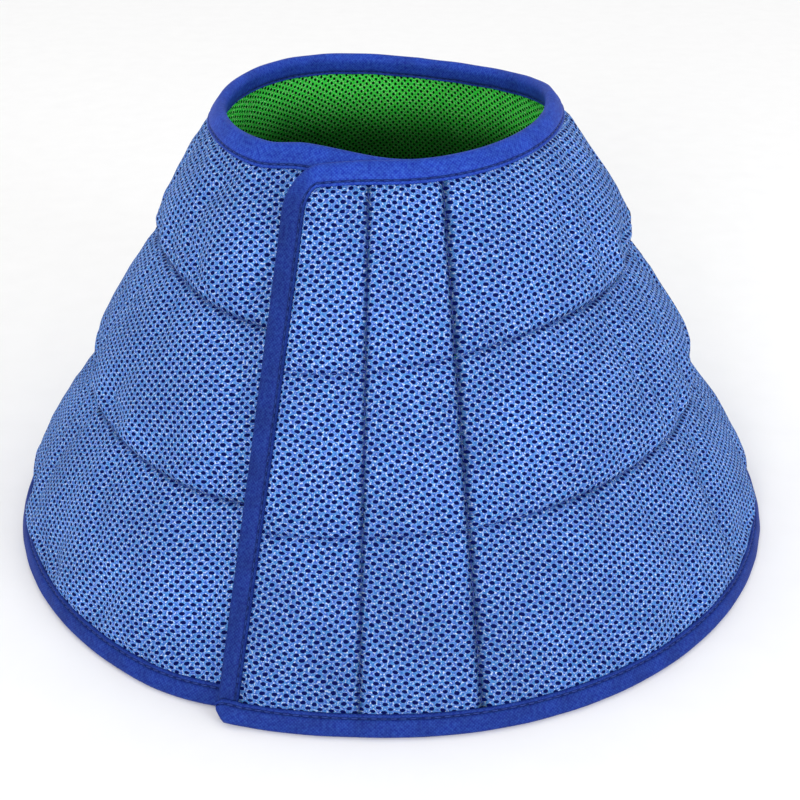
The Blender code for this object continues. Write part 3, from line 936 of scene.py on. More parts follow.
    def guessed(self, sewn: np.ndarray) -> np.ndarray:
        """A quick stand-in for the simulation: the cloth relaxed between its seams."""
        lift = np.zeros(sewn.shape)
        for _ in range(240):
            around = (np.roll(lift, 1, 0) + np.roll(lift, -1, 0)
                      + np.roll(lift, 1, 1) + np.roll(lift, -1, 1)) / 4
            lift = np.where(sewn, 0.0, around + 1.0)
        return lift

    def read(self, columns: np.ndarray, rows: np.ndarray) -> np.ndarray:
        """Height at finer marks, smooth within each padded cell and kinked at its seams."""
        finer = resample(self.lift, self.columns, columns, len(Knot))
        return resample(finer.T, self.rows, rows, len(Tier)).T

    def relief(self, columns: np.ndarray, rows: np.ndarray) -> tuple[np.ndarray, ...]:
        """The outer face of the quilt.

        Args:
            columns: column marks of the grid.
            rows: row marks of the grid.

        Returns:
            Azimuths, slants, depths and painted shades, columns by rows.
        """
        azimuth, slant = CONE.spot(columns[:, None], rows[None, :])
        lift = np.maximum(self.read(columns, rows), 0.0) / self.crown
        depth = self.crown * lift ** self.plumpness
        around = np.radians(azimuth) * CONE.radius(slant)
        in_band = np.clip(rows, Tier.HEM_TAPE, Tier.NECK_TAPE - 1e-6) % 1
        depth *= 1 + self.sag * (1 - 2 * in_band)
        middle, spread = self.right_place
        on_right = np.exp(-((azimuth - middle) / spread) ** 2) * (rows > Tier.LOWER_RING)
        depth *= 1 + self.right_fullness * on_right
        depth *= ease(slant, *self.hem_free)
        depth *= ease(CONE.neck_line(azimuth) - slant, *self.neck_free)
        edge = CONE.line_azimuth(KNOT_LINES[Knot.FLAP_EDGE], slant)
        depth *= ease(np.radians(azimuth - edge) * CONE.radius(slant), *self.edge_free)
        filled = np.clip(depth / self.crown, 0, 1)
        depth += self.unevenness * drift(around, slant, 5, 0.026) * filled
        shade = np.zeros_like(depth)
        for tier, ring, seed in ((Tier.LOWER_RING, CONE.lower_ring, 1),
                                 (Tier.UPPER_RING, CONE.upper_ring, 2)):
            away = slant - CONE.ring_line(ring, azimuth)
            open_cloth = 1 - ease(columns[:, None], Knot.TAB_SEAM - 0.02, Knot.TAB_SEAM)
            firm = self.ring_slack + (1 - self.ring_slack) * ease(azimuth, *self.ring_firms)
            pull = np.exp(-(away / self.groove_width) ** 2) * open_cloth
            depth -= self.groove * pull * firm
            # painted shade in the crease of the ring seam
            shade = np.maximum(shade, pull * firm * self.ring_shade)
            gathers = drift(around, np.sign(away) * 0.02, seed, 0.009)
            reach = np.exp(-np.abs(away) / self.pucker_reach) * (1 - pull)
            depth += self.pucker * gathers * reach * open_cloth
        for knot, depth_share in self.flap_pulls:
            line = CONE.line_azimuth(KNOT_LINES[knot], slant)
            away = np.radians(azimuth - line) * CONE.radius(slant)
            pull = np.exp(-(away / (self.groove_width * (0.5 + depth_share / 2))) ** 2)
            depth -= self.groove * depth_share * pull
            # painted shade in the crease of the flap's seam
            shade = np.maximum(shade, pull)
            gathers = drift(slant, np.sign(away) * 0.02, int(knot) + 3, 0.010)
            reach = np.exp(-np.abs(away) / self.pucker_reach) * (1 - pull)
            depth += self.pucker * 0.7 * gathers * reach
        # painted shade, darker low on the front
        middle, spread = self.low_front_place
        low_front = ((1 - ease(slant, *self.low_front_slants))
                     * np.exp(-((azimuth - middle) / spread) ** 2))
        shade += (1 - shade) * self.low_front_shade * low_front
        return azimuth, slant, depth, shade


def drift(x: np.ndarray, y: np.ndarray, seed: int, length: float) -> np.ndarray:
    """Smooth unevenness between about -1 and 1, from waves near one length in all directions."""
    chance = np.random.default_rng(seed)
    total = np.zeros(np.broadcast(x, y).shape)
    for _ in range(7):
        way, phase = chance.uniform(0, pi), chance.uniform(0, 2 * pi)
        pace = 2 * pi / (length * chance.uniform(0.7, 1.5))
        total += np.sin(pace * (x * cos(way) + y * sin(way)) + phase)
    return total / 3.2


def resample(values: np.ndarray, old: np.ndarray, new: np.ndarray, lines: int) -> np.ndarray:
    """Read rows of values at new marks, by a smooth curve within each whole-number span.

    Args:
        values: one row for each old mark.
        old: the marks of the values, evenly spaced within each span.
        new: the marks to read.
        lines: how many whole numbers the marks reach over.

    Returns:
        One row for each new mark.
    """
    result = np.zeros((len(new), values.shape[1]))
    for span in range(lines - 1):
        inside = (old >= span - 1e-6) & (old <= span + 1 + 1e-6)
        wanted = (new >= span - 1e-6) & (new <= span + 1 + 1e-6)
        known = values[inside]
        if len(known) < 2 or not wanted.any():
            continue
        padded = np.concatenate([2 * known[:1] - known[1:2], known, 2 * known[-1:] - known[-2:-1]])
        reach = np.clip((new[wanted] - span) * (len(known) - 1), 0, len(known) - 1)
        first = np.minimum(reach.astype(int), len(known) - 2)
        t = (reach - first)[:, None]
        a, b, c, d = (padded[first + k] for k in range(4))
        result[wanted] = b + 0.5 * t * (c - a + t * (2 * a - 5 * b + 4 * c - d
                                                     + t * (3 * (b - c) + d - a)))
    return result


# Columns that each arc's foam pads reach from and to.
FOAM_ENDS = {Arc.FLAP_TIP: (0.40, 0.78), Arc.FLAP_COLUMN: (1.24, 2.55),
             Arc.FRONT_WING: (3.16, 6.0), Arc.SIDE_WING: (6.0, 8.0), Arc.REAR: (8.0, 8.95)}


@dataclass
class Quilt:
    """The three layers of the padded cloth: outer air mesh, foam and lining."""

    padding: Padding
    cover: bpy.types.Material
    lining: bpy.types.Material
    foam: bpy.types.Material
    cover_thickness: float = 0.0013
    lining_thickness: float = 0.0010
    layer_gap: float = 0.0003
    edge_rows: tuple[float, float] = (0.42, 4.60)       # the cloth stops inside the tape
    edge_columns: tuple[float, float] = (0.075, 9.953)
    lining_puff: float = 0.0013
    puff_starts: tuple[float, float] = (20, 45)  # azimuths past which no cloth lies inside it
    inside_painted_shade: float = 0.95      # painted shade: the lining is drawn darker inside the cone, from the first depth below the neck on
    dim_below: tuple[float, float] = (0.014, 0.044)  # from the first depth below the neck on
    foam_margin: float = 0.13     # share of a band that is left free of foam at each seam
    foam_least: float = 0.0004

    def columns_of(self, arc: Arc, spacing: Spacing) -> np.ndarray:
        """Column marks of one arc."""
        plan = ARCS[arc]
        low = max(float(plan.first), self.edge_columns[0])
        high = min(float(plan.last), self.edge_columns[1])
        return trimmed(column_marks(spacing), low, high)

    def cut(self, azimuth: np.ndarray, slant: np.ndarray) -> dict:
        """Flat size and area of a piece of cloth, for its declaration."""
        flat = CONE.flat(azimuth, slant)
        ends = flat[-1].mean(0) - flat[0].mean(0)
        across = ends / np.linalg.norm(ends)
        turned = flat @ np.stack([across, [-across[1], across[0]]], axis=1)
        size = np.ptp(turned.reshape(-1, 2), axis=0)
        a, b, c, d = flat[:-1, :-1], flat[1:, :-1], flat[1:, 1:], flat[:-1, 1:]
        one, two = c - a, d - b
        area = float(np.abs(one[..., 0] * two[..., 1] - one[..., 1] * two[..., 0]).sum() / 2)
        return {"flat": (float(size[0]), float(size[1])), "area": area}

    def make_cover(self, arc: Arc) -> bpy.types.Object:
        """Outer air mesh of one arc."""
        columns = self.columns_of(arc, FINE)
        rows = trimmed(row_marks(FINE), *self.edge_rows)
        azimuth, slant, depth, shade = self.padding.relief(columns, rows)
        piece = make_shell("cover_" + arc.value + "_cloth", azimuth, slant, depth,
                           depth - self.cover_thickness, self.cover, "cover_mesh", shade)
        carry(piece, arc)
        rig.replaces(piece, "cover_" + arc.value)
        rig.sheet(piece, held="stretched", rests_on=["foam_middle_" + arc.value + "_pad"],
                 **self.cut(azimuth, slant))
        return piece

    def make_lining(self, arc: Arc) -> bpy.types.Object:
        """Inner air mesh of one arc, slightly puffed inwards where it isn't overlapped."""
        columns = self.columns_of(arc, PLAIN)
        rows = trimmed(row_marks(PLAIN), *self.edge_rows)
        azimuth, slant = CONE.spot(columns[:, None], rows[None, :])
        lift = np.maximum(self.padding.read(columns, rows), 0.0) / self.padding.crown
        puff = self.lining_puff * lift * ease(azimuth, *self.puff_starts)
        outer = -self.cover_thickness - self.layer_gap - puff
        # painted shade, darker deeper inside the cone
        below = CONE.neck_line(azimuth) - slant
        dim = self.inside_painted_shade * ease(below, *self.dim_below)
        piece = make_shell("lining_" + arc.value + "_cloth", azimuth, slant, outer,
                           outer - self.lining_thickness, self.lining, "lining_mesh", dim)
        carry(piece, arc)
        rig.replaces(piece, "lining_" + arc.value)
        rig.sheet(piece, held="stretched", rests_on=["foam_middle_" + arc.value + "_pad"],
                 **self.cut(azimuth, slant))
        return piece

    def make_foam(self, arc: Arc, band: int) -> bpy.types.Object:
        """Foam pad of one band, between the cloths and short of the seams."""
        columns = trimmed(column_marks(COARSE), *FOAM_ENDS[arc])
        low = band + 1
        rows = trimmed(row_marks(COARSE), low + self.foam_margin, low + 1 - self.foam_margin)
        azimuth, slant = CONE.spot(columns[:, None], rows[None, :])
        lift = np.maximum(self.padding.read(columns, rows), 0.0)
        inner = np.full_like(lift, -self.cover_thickness - self.layer_gap / 2)
        outer = np.maximum(lift - self.cover_thickness - self.layer_gap, inner + self.foam_least)
        name = ("hem", "middle", "neck")[band]
        piece = make_shell(f"foam_{name}_{arc.value}_pad", azimuth, slant, outer, inner,
                           self.foam, "foam")
        if arc is Arc.FLAP_TIP or arc is Arc.FLAP_COLUMN:
            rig.ride(piece, arc.value)
        else:
            carry(piece, arc)
        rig.replaces(piece, f"foam_{name}_{arc.value}")
        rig.padded(piece, fill=0.5)
        return piece


# ---------------------------------------------------------------- tape and thread

@dataclass(frozen=True)
class Path:
    """A course along the cloth: places, which way the cloth lies, and the tape's width."""

    azimuth: np.ndarray
    slant: np.ndarray
    across: np.ndarray
    up: np.ndarray
    width: np.ndarray
    raised: np.ndarray
    roll: np.ndarray         # radius of the fold
    lip: np.ndarray          # width of the folded lip outside the stitching
    inner_more: np.ndarray   # how much wider the tape is inside the cone
    painted_shade_share: np.ndarray       # painted shade: how much darker the tape is drawn, from 0 to 1

    def at(self, reach: np.ndarray, depth: np.ndarray) -> tuple[np.ndarray, ...]:
        """Azimuth, slant and depth a little way in from the course."""
        slant = self.slant[:, None] + self.up[:, None] * reach
        turn = np.degrees(self.across[:, None] * reach / CONE.radius(slant))
        return self.azimuth[:, None] + turn, slant, depth

    def along(self) -> np.ndarray:
        """Distance of each station from the first."""
        points = CONE.place(self.azimuth, self.slant, 0.0)
        steps = np.linalg.norm(np.diff(points, axis=0), axis=1)
        return np.concatenate([[0.0], np.cumsum(steps)])


@dataclass
class Binding:
    """Bias tape folded over the edges of the cloth, and the thread that holds it."""

    tape: bpy.types.Material
    thickness: float = 0.0005
    middle: float = -0.0013       # depth of the cloth's middle
    crown: float = 0.00045        # how far the tape swells between fold and stitching
    step: float = 0.0022
    hem_width: float = 0.0080
    hem_lip: float = 0.0015
    # painted shade on the hem tape
    hem_painted_shade: float = 0.55
    neck_width: float = 0.0082
    neck_spread: float = 0.0010   # the tape lies flatter, so wider, before the inner end,
    spread_grows: tuple[float, float] = (285, 325)  # between these azimuths
    spread_ends: tuple[float, float] = (350, 362)
    neck_roll: float = 0.0025
    neck_lip: float = 0.0013
    neck_inner_more: float = -0.0003
    edge_width: tuple[float, float] = (0.0076, 0.0090)   # at the rim and at the neck
    edge_roll: float = 0.0021
    edge_lip: float = 0.0011
    # painted shade on the edge tapes
    edge_painted_shade: float = 0.70
    corner_radius: float = 0.0118
    corner_pleat: float = 0.00035
    edge_start: float = 0.0035    # how far up the cloth the edge tapes start
    edge_stop: float = 0.0045     # how far below the neck the inner edge's tape ends
    lap_length: float = 0.0085    # the hem tape's folded end, over the flap's edge tape
    lap_height: float = 0.0010
    lap_marks: tuple[float, ...] = (0.0, 0.3, 0.7, 1.3, 2.0, 3.0)  # mm, close at its round end
    lap_round: float = 0.003      # length of the round end
    lap_lift: float = 0.0030      # how far the rounding draws the end's fold up
    lap_narrowing: float = 0.0016
    lap_fullness: float = 0.0004
    lap_ends: tuple[float, float] = (0.2, 0.15)  # degrees the hem tape stops short by
    wander: float = 0.00008       # unevenness of the pressed tape

    def section(self, path: Path) -> tuple[np.ndarray, np.ndarray, np.ndarray, np.ndarray]:
        """Outline of the folded tape at every station.

        Args:
            path: the tape's course.

        Returns:
            Reach, depth, distance round the outline and painted shade, stations by points.
        """
        count = len(path.width)
        roll, lip, raised = path.roll[:, None], path.lip[:, None], path.raised[:, None]

        def leg_reach(w: np.ndarray) -> np.ndarray:
            """Reach of the points of one leg, from its free edge to the fold."""
            groove = w - lip
            body = roll + (groove - roll) * np.array([[0.88, 0.66, 0.42, 0.2]])
            return np.concatenate([w, w - 0.0001, w - lip * 0.3, w - lip * 0.62,
                                   groove + 0.0002, groove, groove - 0.0003, body], axis=1)

        leg = leg_reach(path.width[:, None])
        inner_leg = leg_reach((path.width + path.inner_more)[:, None])[:, ::-1]
        rise = np.array([-0.0004, -0.00005, 0.00038, 0.00028, -0.00012, -0.00022, -0.00008,
                         self.crown * 0.75, self.crown, self.crown * 0.8, self.crown * 0.35])
        # painted shade: darkest in the stitching groove, some at each leg's free edge
        shade = np.array([0.5, 0.1, 0.0, 0.1, 0.8, 1.0, 0.7, 0.0, 0.0, 0.0, 0.0])
        turns = np.radians(np.linspace(0, 180, 9))
        reach = np.concatenate([leg, roll * (1 - np.sin(turns)), inner_leg], axis=1)
        around = np.concatenate([roll + rise, roll * np.cos(turns), -(roll + rise[::-1])], axis=1)
        sides = np.concatenate([np.ones(len(rise)), np.clip(np.cos(turns), 0, 1),
                                np.zeros(len(rise))])
        depth = self.middle + around + raised * sides
        thin = roll - self.thickness
        inner_reach = np.concatenate([leg, roll - thin * np.sin(turns), inner_leg], axis=1)
        inner_around = np.concatenate([np.tile(thin, (1, len(rise))), thin * np.cos(turns),
                                       np.tile(-thin, (1, len(rise)))], axis=1)
        inner_depth = self.middle + inner_around + raised * sides
        reach = np.concatenate([reach, inner_reach[:, ::-1]], axis=1)
        depth = np.concatenate([depth, inner_depth[:, ::-1]], axis=1)
        shades = np.concatenate([shade, np.zeros(len(turns)), shade[::-1]])
        shades = np.tile(np.concatenate([shades, shades[::-1]]), (count, 1))
        # painted shade along the hem and edge tape
        shades = shades + (1 - shades) * path.painted_shade_share[:, None]
        steps = np.hypot(np.diff(reach, axis=1), np.diff(depth, axis=1))
        outline = np.concatenate([np.zeros((count, 1)), np.cumsum(steps, axis=1)], axis=1)
        return reach, depth, outline, shades

    def make(self, name: str, path: Path) -> bpy.types.Object:
        """Sweep the folded tape along a course."""
        reach, depth, outline, shades = self.section(path)
        length = path.along()
        sway = drift(length[:, None], outline, 11, 0.012) * self.wander
        azimuth, slant, depth = path.at(reach, depth + sway)
        points = CONE.place(azimuth, slant, depth)
        points[..., 2] = np.maximum(points[..., 2], 0.0)  # pressed flat where the rim stands
        stations, ring = reach.shape
        faces = []
        for station in range(stations - 1):
            a, b = station * ring, (station + 1) * ring
            faces += [(a + k, a + (k + 1) % ring, b + (k + 1) % ring, b + k) for k in range(ring)]
        half = ring // 2
        for base, turned in ((0, True), ((stations - 1) * ring, False)):
            for k in range(half - 1):
                cap = (base + k, base + k + 1, base + ring - 2 - k, base + ring - 1 - k)
                faces.append(cap[::-1] if not turned else cap)
        flat = np.stack([np.tile(length[:, None], (1, ring)), outline], axis=-1) / MM
        piece = make_piece(name, points.reshape(-1, 3), faces, self.tape, "binding_tape",
                           flat.reshape(-1, 2), shades.ravel(), sharp=75.0)
        fix_facing(piece)
        return piece

    def marks(self, low: float, high: float, radius: float) -> np.ndarray:
        """Azimuths from one to the other, a step of tape apart."""
        count = max(3, round(abs(radians(high - low)) * radius / self.step))
        return np.linspace(low, high, count + 1)

    def ends(self, arc: Arc, slant: float) -> tuple[float, float]:
        """Azimuths where an arc starts and ends at a slant."""
        plan = ARCS[arc]
        return tuple(float(CONE.line_azimuth(KNOT_LINES[knot], slant))
                     for knot in (plan.first, plan.last))

    def hem_path(self, arc: Arc) -> Path:
        """Along the rim; on the flap, the tape's folded end laps over the edge tape."""
        on_tip = arc is Arc.FLAP_TIP
        low, high = self.ends(arc, 0.0)
        if on_tip:
            low += self.lap_ends[0]
        if arc is Arc.REAR:
            high -= self.lap_ends[1]
        azimuth = self.marks(low, high, CONE.rim_radius)
        if on_tip:
            tight = low + np.degrees(np.array(self.lap_marks) * MM / CONE.rim_radius)
            azimuth = np.concatenate([tight, azimuth[azimuth > tight[-1] + 0.3]])
        zero = np.zeros_like(azimuth)
        width, raised, slant = np.full_like(azimuth, self.hem_width), zero, zero
        if on_tip:
            across = np.radians(azimuth - low) * CONE.rim_radius
            round_off = np.clip(1 - across / self.lap_round, 0, 1)
            slant = self.lap_lift * round_off ** 1.2
            raised = self.lap_height * (1 - ease(across, self.lap_length - MM,
                                                 self.lap_length + 2 * MM))
            lapped = self.hem_width + self.lap_fullness - self.lap_narrowing * round_off ** 2.5
            width = np.where(across > self.lap_length, width, lapped) - slant
        return Path(azimuth, slant, zero, zero + 1, width, raised, zero + self.edge_roll,
                    zero + self.hem_lip, zero, zero + self.hem_painted_shade)

    def neck_path(self, arc: Arc) -> Path:
        """Along the neck."""
        low, high = self.ends(arc, CONE.slant_length)
        azimuth = self.marks(low, high, CONE.neck_radius)
        zero = np.zeros_like(azimuth)
        spread = ease(azimuth, *self.spread_grows) - ease(azimuth, *self.spread_ends)
        return Path(azimuth, CONE.neck_line(azimuth), zero, zero - 1,
                    self.neck_width + self.neck_spread * spread, zero, zero + self.neck_roll,
                    zero + self.neck_lip, zero + self.neck_inner_more, zero)

    def edge_path(self, knot: Knot, side: int, low: float, high: float) -> Path:
        """Up a free edge of the cloth, which lies on one side of it."""
        slant = np.linspace(low, high, round((high - low) / self.step))
        share = slant / CONE.slant_length
        width = self.edge_width[0] + (self.edge_width[1] - self.edge_width[0]) * share
        zero = np.zeros_like(slant)
        return Path(CONE.line_azimuth(KNOT_LINES[knot], slant), slant, zero + side, zero,
                    width, zero, zero + self.edge_roll, zero + self.edge_lip, zero,
                    zero + self.edge_painted_shade)

    def flap_path(self) -> Path:
        """Up the flap's edge, round its corner and along the neck."""
        line = KNOT_LINES[Knot.FLAP_EDGE]
        radius = self.corner_radius
        shoulder = float(CONE.neck_line(line.neck)) - radius
        edge = self.edge_path(Knot.FLAP_EDGE, 1, self.edge_start, shoulder)
        turns = np.radians(np.arange(9, 91, 9))
        corner = float(CONE.line_azimuth(line, shoulder))
        round_azimuth = corner + np.degrees(radius * (1 - np.cos(turns)) / CONE.radius(shoulder))
        round_slant = CONE.neck_line(round_azimuth) - radius * (1 - np.sin(turns))
        neck = self.neck_path(Arc.FLAP_TIP)
        kept = neck.azimuth > round_azimuth[-1] + 1
        azimuth = np.concatenate([edge.azimuth, round_azimuth, neck.azimuth[kept]])
        slant = np.concatenate([edge.slant, round_slant, neck.slant[kept]])
        after = int(kept.sum())
        across = np.concatenate([edge.across, np.cos(turns), np.zeros(after)])
        up = np.concatenate([edge.up, -np.sin(turns), np.full(after, -1.0)])
        pleats = self.corner_pleat * np.abs(np.sin(turns * 6.5)) * np.sin(turns * 2)
        raised = np.concatenate([np.zeros(len(edge.azimuth)), pleats, np.zeros(after)])

        def joined(along_edge: np.ndarray, along_neck: np.ndarray) -> np.ndarray:
            """A measure of the tape, changing round the corner from one run to the other."""
            last, first = along_edge[-1], along_neck[kept][0]
            return np.concatenate([along_edge, last + (first - last) * turns / (pi / 2),
                                   along_neck[kept]])

        measures = [joined(getattr(edge, word), getattr(neck, word))
                    for word in ("width", "roll", "lip", "inner_more", "painted_shade_share")]
        return Path(azimuth, slant, across, up, measures[0], raised, *measures[1:])

    def make_arc(self, arc: Arc) -> list[bpy.types.Object]:
        """Hem and neck tape of one arc; the flap's runs on round its corner and down its edge."""
        made = []
        for word, path in (("hem", self.hem_path(arc)),
                           ("neck", self.flap_path() if arc is Arc.FLAP_TIP
                            else self.neck_path(arc))):
            piece = self.make(f"{word}_tape_{arc.value}", path)
            carry(piece, arc)
            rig.replaces(piece, f"{word}_binding_{arc.value}")
            made.append(piece)
        return made

    def make_inner_edge(self) -> bpy.types.Object:
        """Tape on the end of the cloth that lies inside the cone."""
        top = float(CONE.neck_line(KNOT_LINES[Knot.INNER_EDGE].neck)) - self.edge_stop
        piece = self.make("inner_edge_tape",
                          self.edge_path(Knot.INNER_EDGE, -1, self.edge_start, top))
        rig.ride(piece, "root")
        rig.replaces(piece, "inner_edge_binding")
        return piece


def fix_facing(piece: bpy.types.Object) -> None:
    """Turn the faces of a closed piece outwards."""
    work = bmesh.new()
    work.from_mesh(piece.data)
    bmesh.ops.recalc_face_normals(work, faces=work.faces[:])
    if work.calc_volume(signed=True) < 0:
        bmesh.ops.reverse_faces(work, faces=work.faces[:])
    work.to_mesh(piece.data)
    work.free()


@dataclass
class Stitching:
    """Lockstitch seams: each stitch is a short piece of thread that dips in at both ends."""

    thread: bpy.types.Material
    binding: Binding
    padding: Padding
    length: float = 0.0023
    pitch: float = 0.0031
    radius: float = 0.00024
    sides: int = 5
    sink: float = 0.00018          # how far the thread sinks into the tape
    inner_face: float = -0.0026    # depth of the lining's face at a seam
    first_column: float = 0.19     # the ring seams start beside the flap's edge tape
    seam_rows: tuple[float, float] = (1.02, 3.98)  # and the flap's seams run from tape to tape
    end_margin: float = 0.0085     # left free at both ends of the inner edge's tape

    def run(self, azimuth: np.ndarray, slant: np.ndarray, depth: np.ndarray,
            outwards: float = 1.0) -> tuple[np.ndarray, list[tuple]]:
        """Stitches along a course.

        Args:
            azimuth: degrees along the course.
            slant: metres up the cloth.
            depth: depth of the surface that the thread lies on.
            outwards: 1 on the outside of the cloth, -1 on the inside.

        Returns:
            Points and faces of all its stitches.
        """
        line = CONE.place(azimuth, slant, depth)
        normal = (CONE.place(azimuth, slant, depth + MM) - line) / MM * outwards
        steps = np.linalg.norm(np.diff(line, axis=0), axis=1)
        run = np.concatenate([[0.0], np.cumsum(steps)])
        starts = np.arange(self.pitch * 0.3, run[-1] - self.length, self.pitch)
        shares = np.array([0.0, 0.16, 0.5, 0.84, 1.0])
        lifts = np.array([-0.30, 0.05, 0.16, 0.05, -0.30]) * MM
        widths = np.array([0.6, 1.0, 1.0, 1.0, 0.6]) * self.radius
        at = starts[:, None] + shares * self.length
        middle = np.stack([np.interp(at, run, line[:, k]) for k in range(3)], axis=-1)
        up = np.stack([np.interp(at, run, normal[:, k]) for k in range(3)], axis=-1)
        up /= np.linalg.norm(up, axis=-1, keepdims=True)
        forth = middle[:, -1:] - middle[:, :1]
        forth = forth / np.linalg.norm(forth, axis=-1, keepdims=True)
        side = np.cross(forth, up)
        middle = middle + up * lifts[:, None]
        turns = np.arange(self.sides) * 2 * pi / self.sides
        ring = (side[:, :, None] * np.cos(turns)[:, None]
                + up[:, :, None] * np.sin(turns)[:, None])
        points = middle[:, :, None] + ring * widths[:, None, None]
        faces, n = [], self.sides
        for stitch in range(len(starts)):
            base = stitch * 5 * n
            for k in range(4):
                a, b = base + k * n, base + (k + 1) * n
                faces += [(a + j, b + j, b + (j + 1) % n, a + (j + 1) % n) for j in range(n)]
            faces.append(tuple(base + j for j in range(n)))
            faces.append(tuple(base + 4 * n + j for j in reversed(range(n))))
        return points.reshape(-1, 3), faces

    def tape_runs(self, path: Path) -> list[tuple]:
        """Stitches in the tape's groove, outside and inside."""
        face, runs = path.roll - self.sink, []
        for outwards, more in ((1.0, 0.0), (-1.0, path.inner_more)):
            reach = (path.width + more - path.lip)[:, None]
            azimuth, slant, _ = path.at(reach, np.zeros_like(reach))
            raised = path.raised if outwards > 0 else 0.0
            depth = self.binding.middle + face * outwards + raised
            runs.append((azimuth[:, 0], slant[:, 0], depth + np.zeros(len(slant)), outwards))
        return runs

    def seam_runs(self, arc: Arc) -> list[tuple]:
        """Stitches along the ring seams and up the flap's seams."""
        plan, runs = ARCS[arc], []
        low = max(float(plan.first), self.first_column)
        high = min(float(plan.last), float(Knot.TAB_SEAM))
        columns = trimmed(column_marks(COARSE), low, high)
        for tier in sorted(STITCHED_TIERS):
            azimuth, slant, depth, _ = self.padding.relief(columns, np.array([float(tier)]))
            runs.append((azimuth[:, 0], slant[:, 0], depth[:, 0], 1.0))
            runs.append((azimuth[:, 0], slant[:, 0], np.full(len(columns), self.inner_face),
                         -1.0))
        seam = {Arc.FLAP_TIP: Knot.TIP_SEAM, Arc.FLAP_COLUMN: Knot.COLUMN_SEAM}.get(arc)
        if seam is not None:
            rows = trimmed(row_marks(COARSE), *self.seam_rows)
            azimuth, slant, depth, _ = self.padding.relief(np.array([float(seam)]), rows)
            runs.append((azimuth[0], slant[0], depth[0], 1.0))
            runs.append((azimuth[0], slant[0], np.full(len(rows), self.inner_face), -1.0))
        return runs

    def make_arc(self, arc: Arc) -> bpy.types.Object:
        """All the thread of one arc, as one piece."""
        runs = self.seam_runs(arc) + self.tape_runs(self.binding.hem_path(arc))
        runs += self.tape_runs(self.binding.flap_path() if arc is Arc.FLAP_TIP
                               else self.binding.neck_path(arc))
        if arc is Arc.REAR:
            low = self.end_margin
            top = float(CONE.neck_line(KNOT_LINES[Knot.INNER_EDGE].neck)) - low
            runs += self.tape_runs(self.binding.edge_path(Knot.INNER_EDGE, -1, low, top))
        points, faces, count = [], [], 0
        for run in runs:
            more, joined = self.run(*run)
            points.append(more)
            faces += [tuple(k + count for k in face) for face in joined]
            count += len(more)
        piece = make_piece("stitching_" + arc.value, np.concatenate(points), faces, self.thread,
                           "binding_tape")
        carry(piece, arc)
        return piece


# ---------------------------------------------------------------- hook and loop

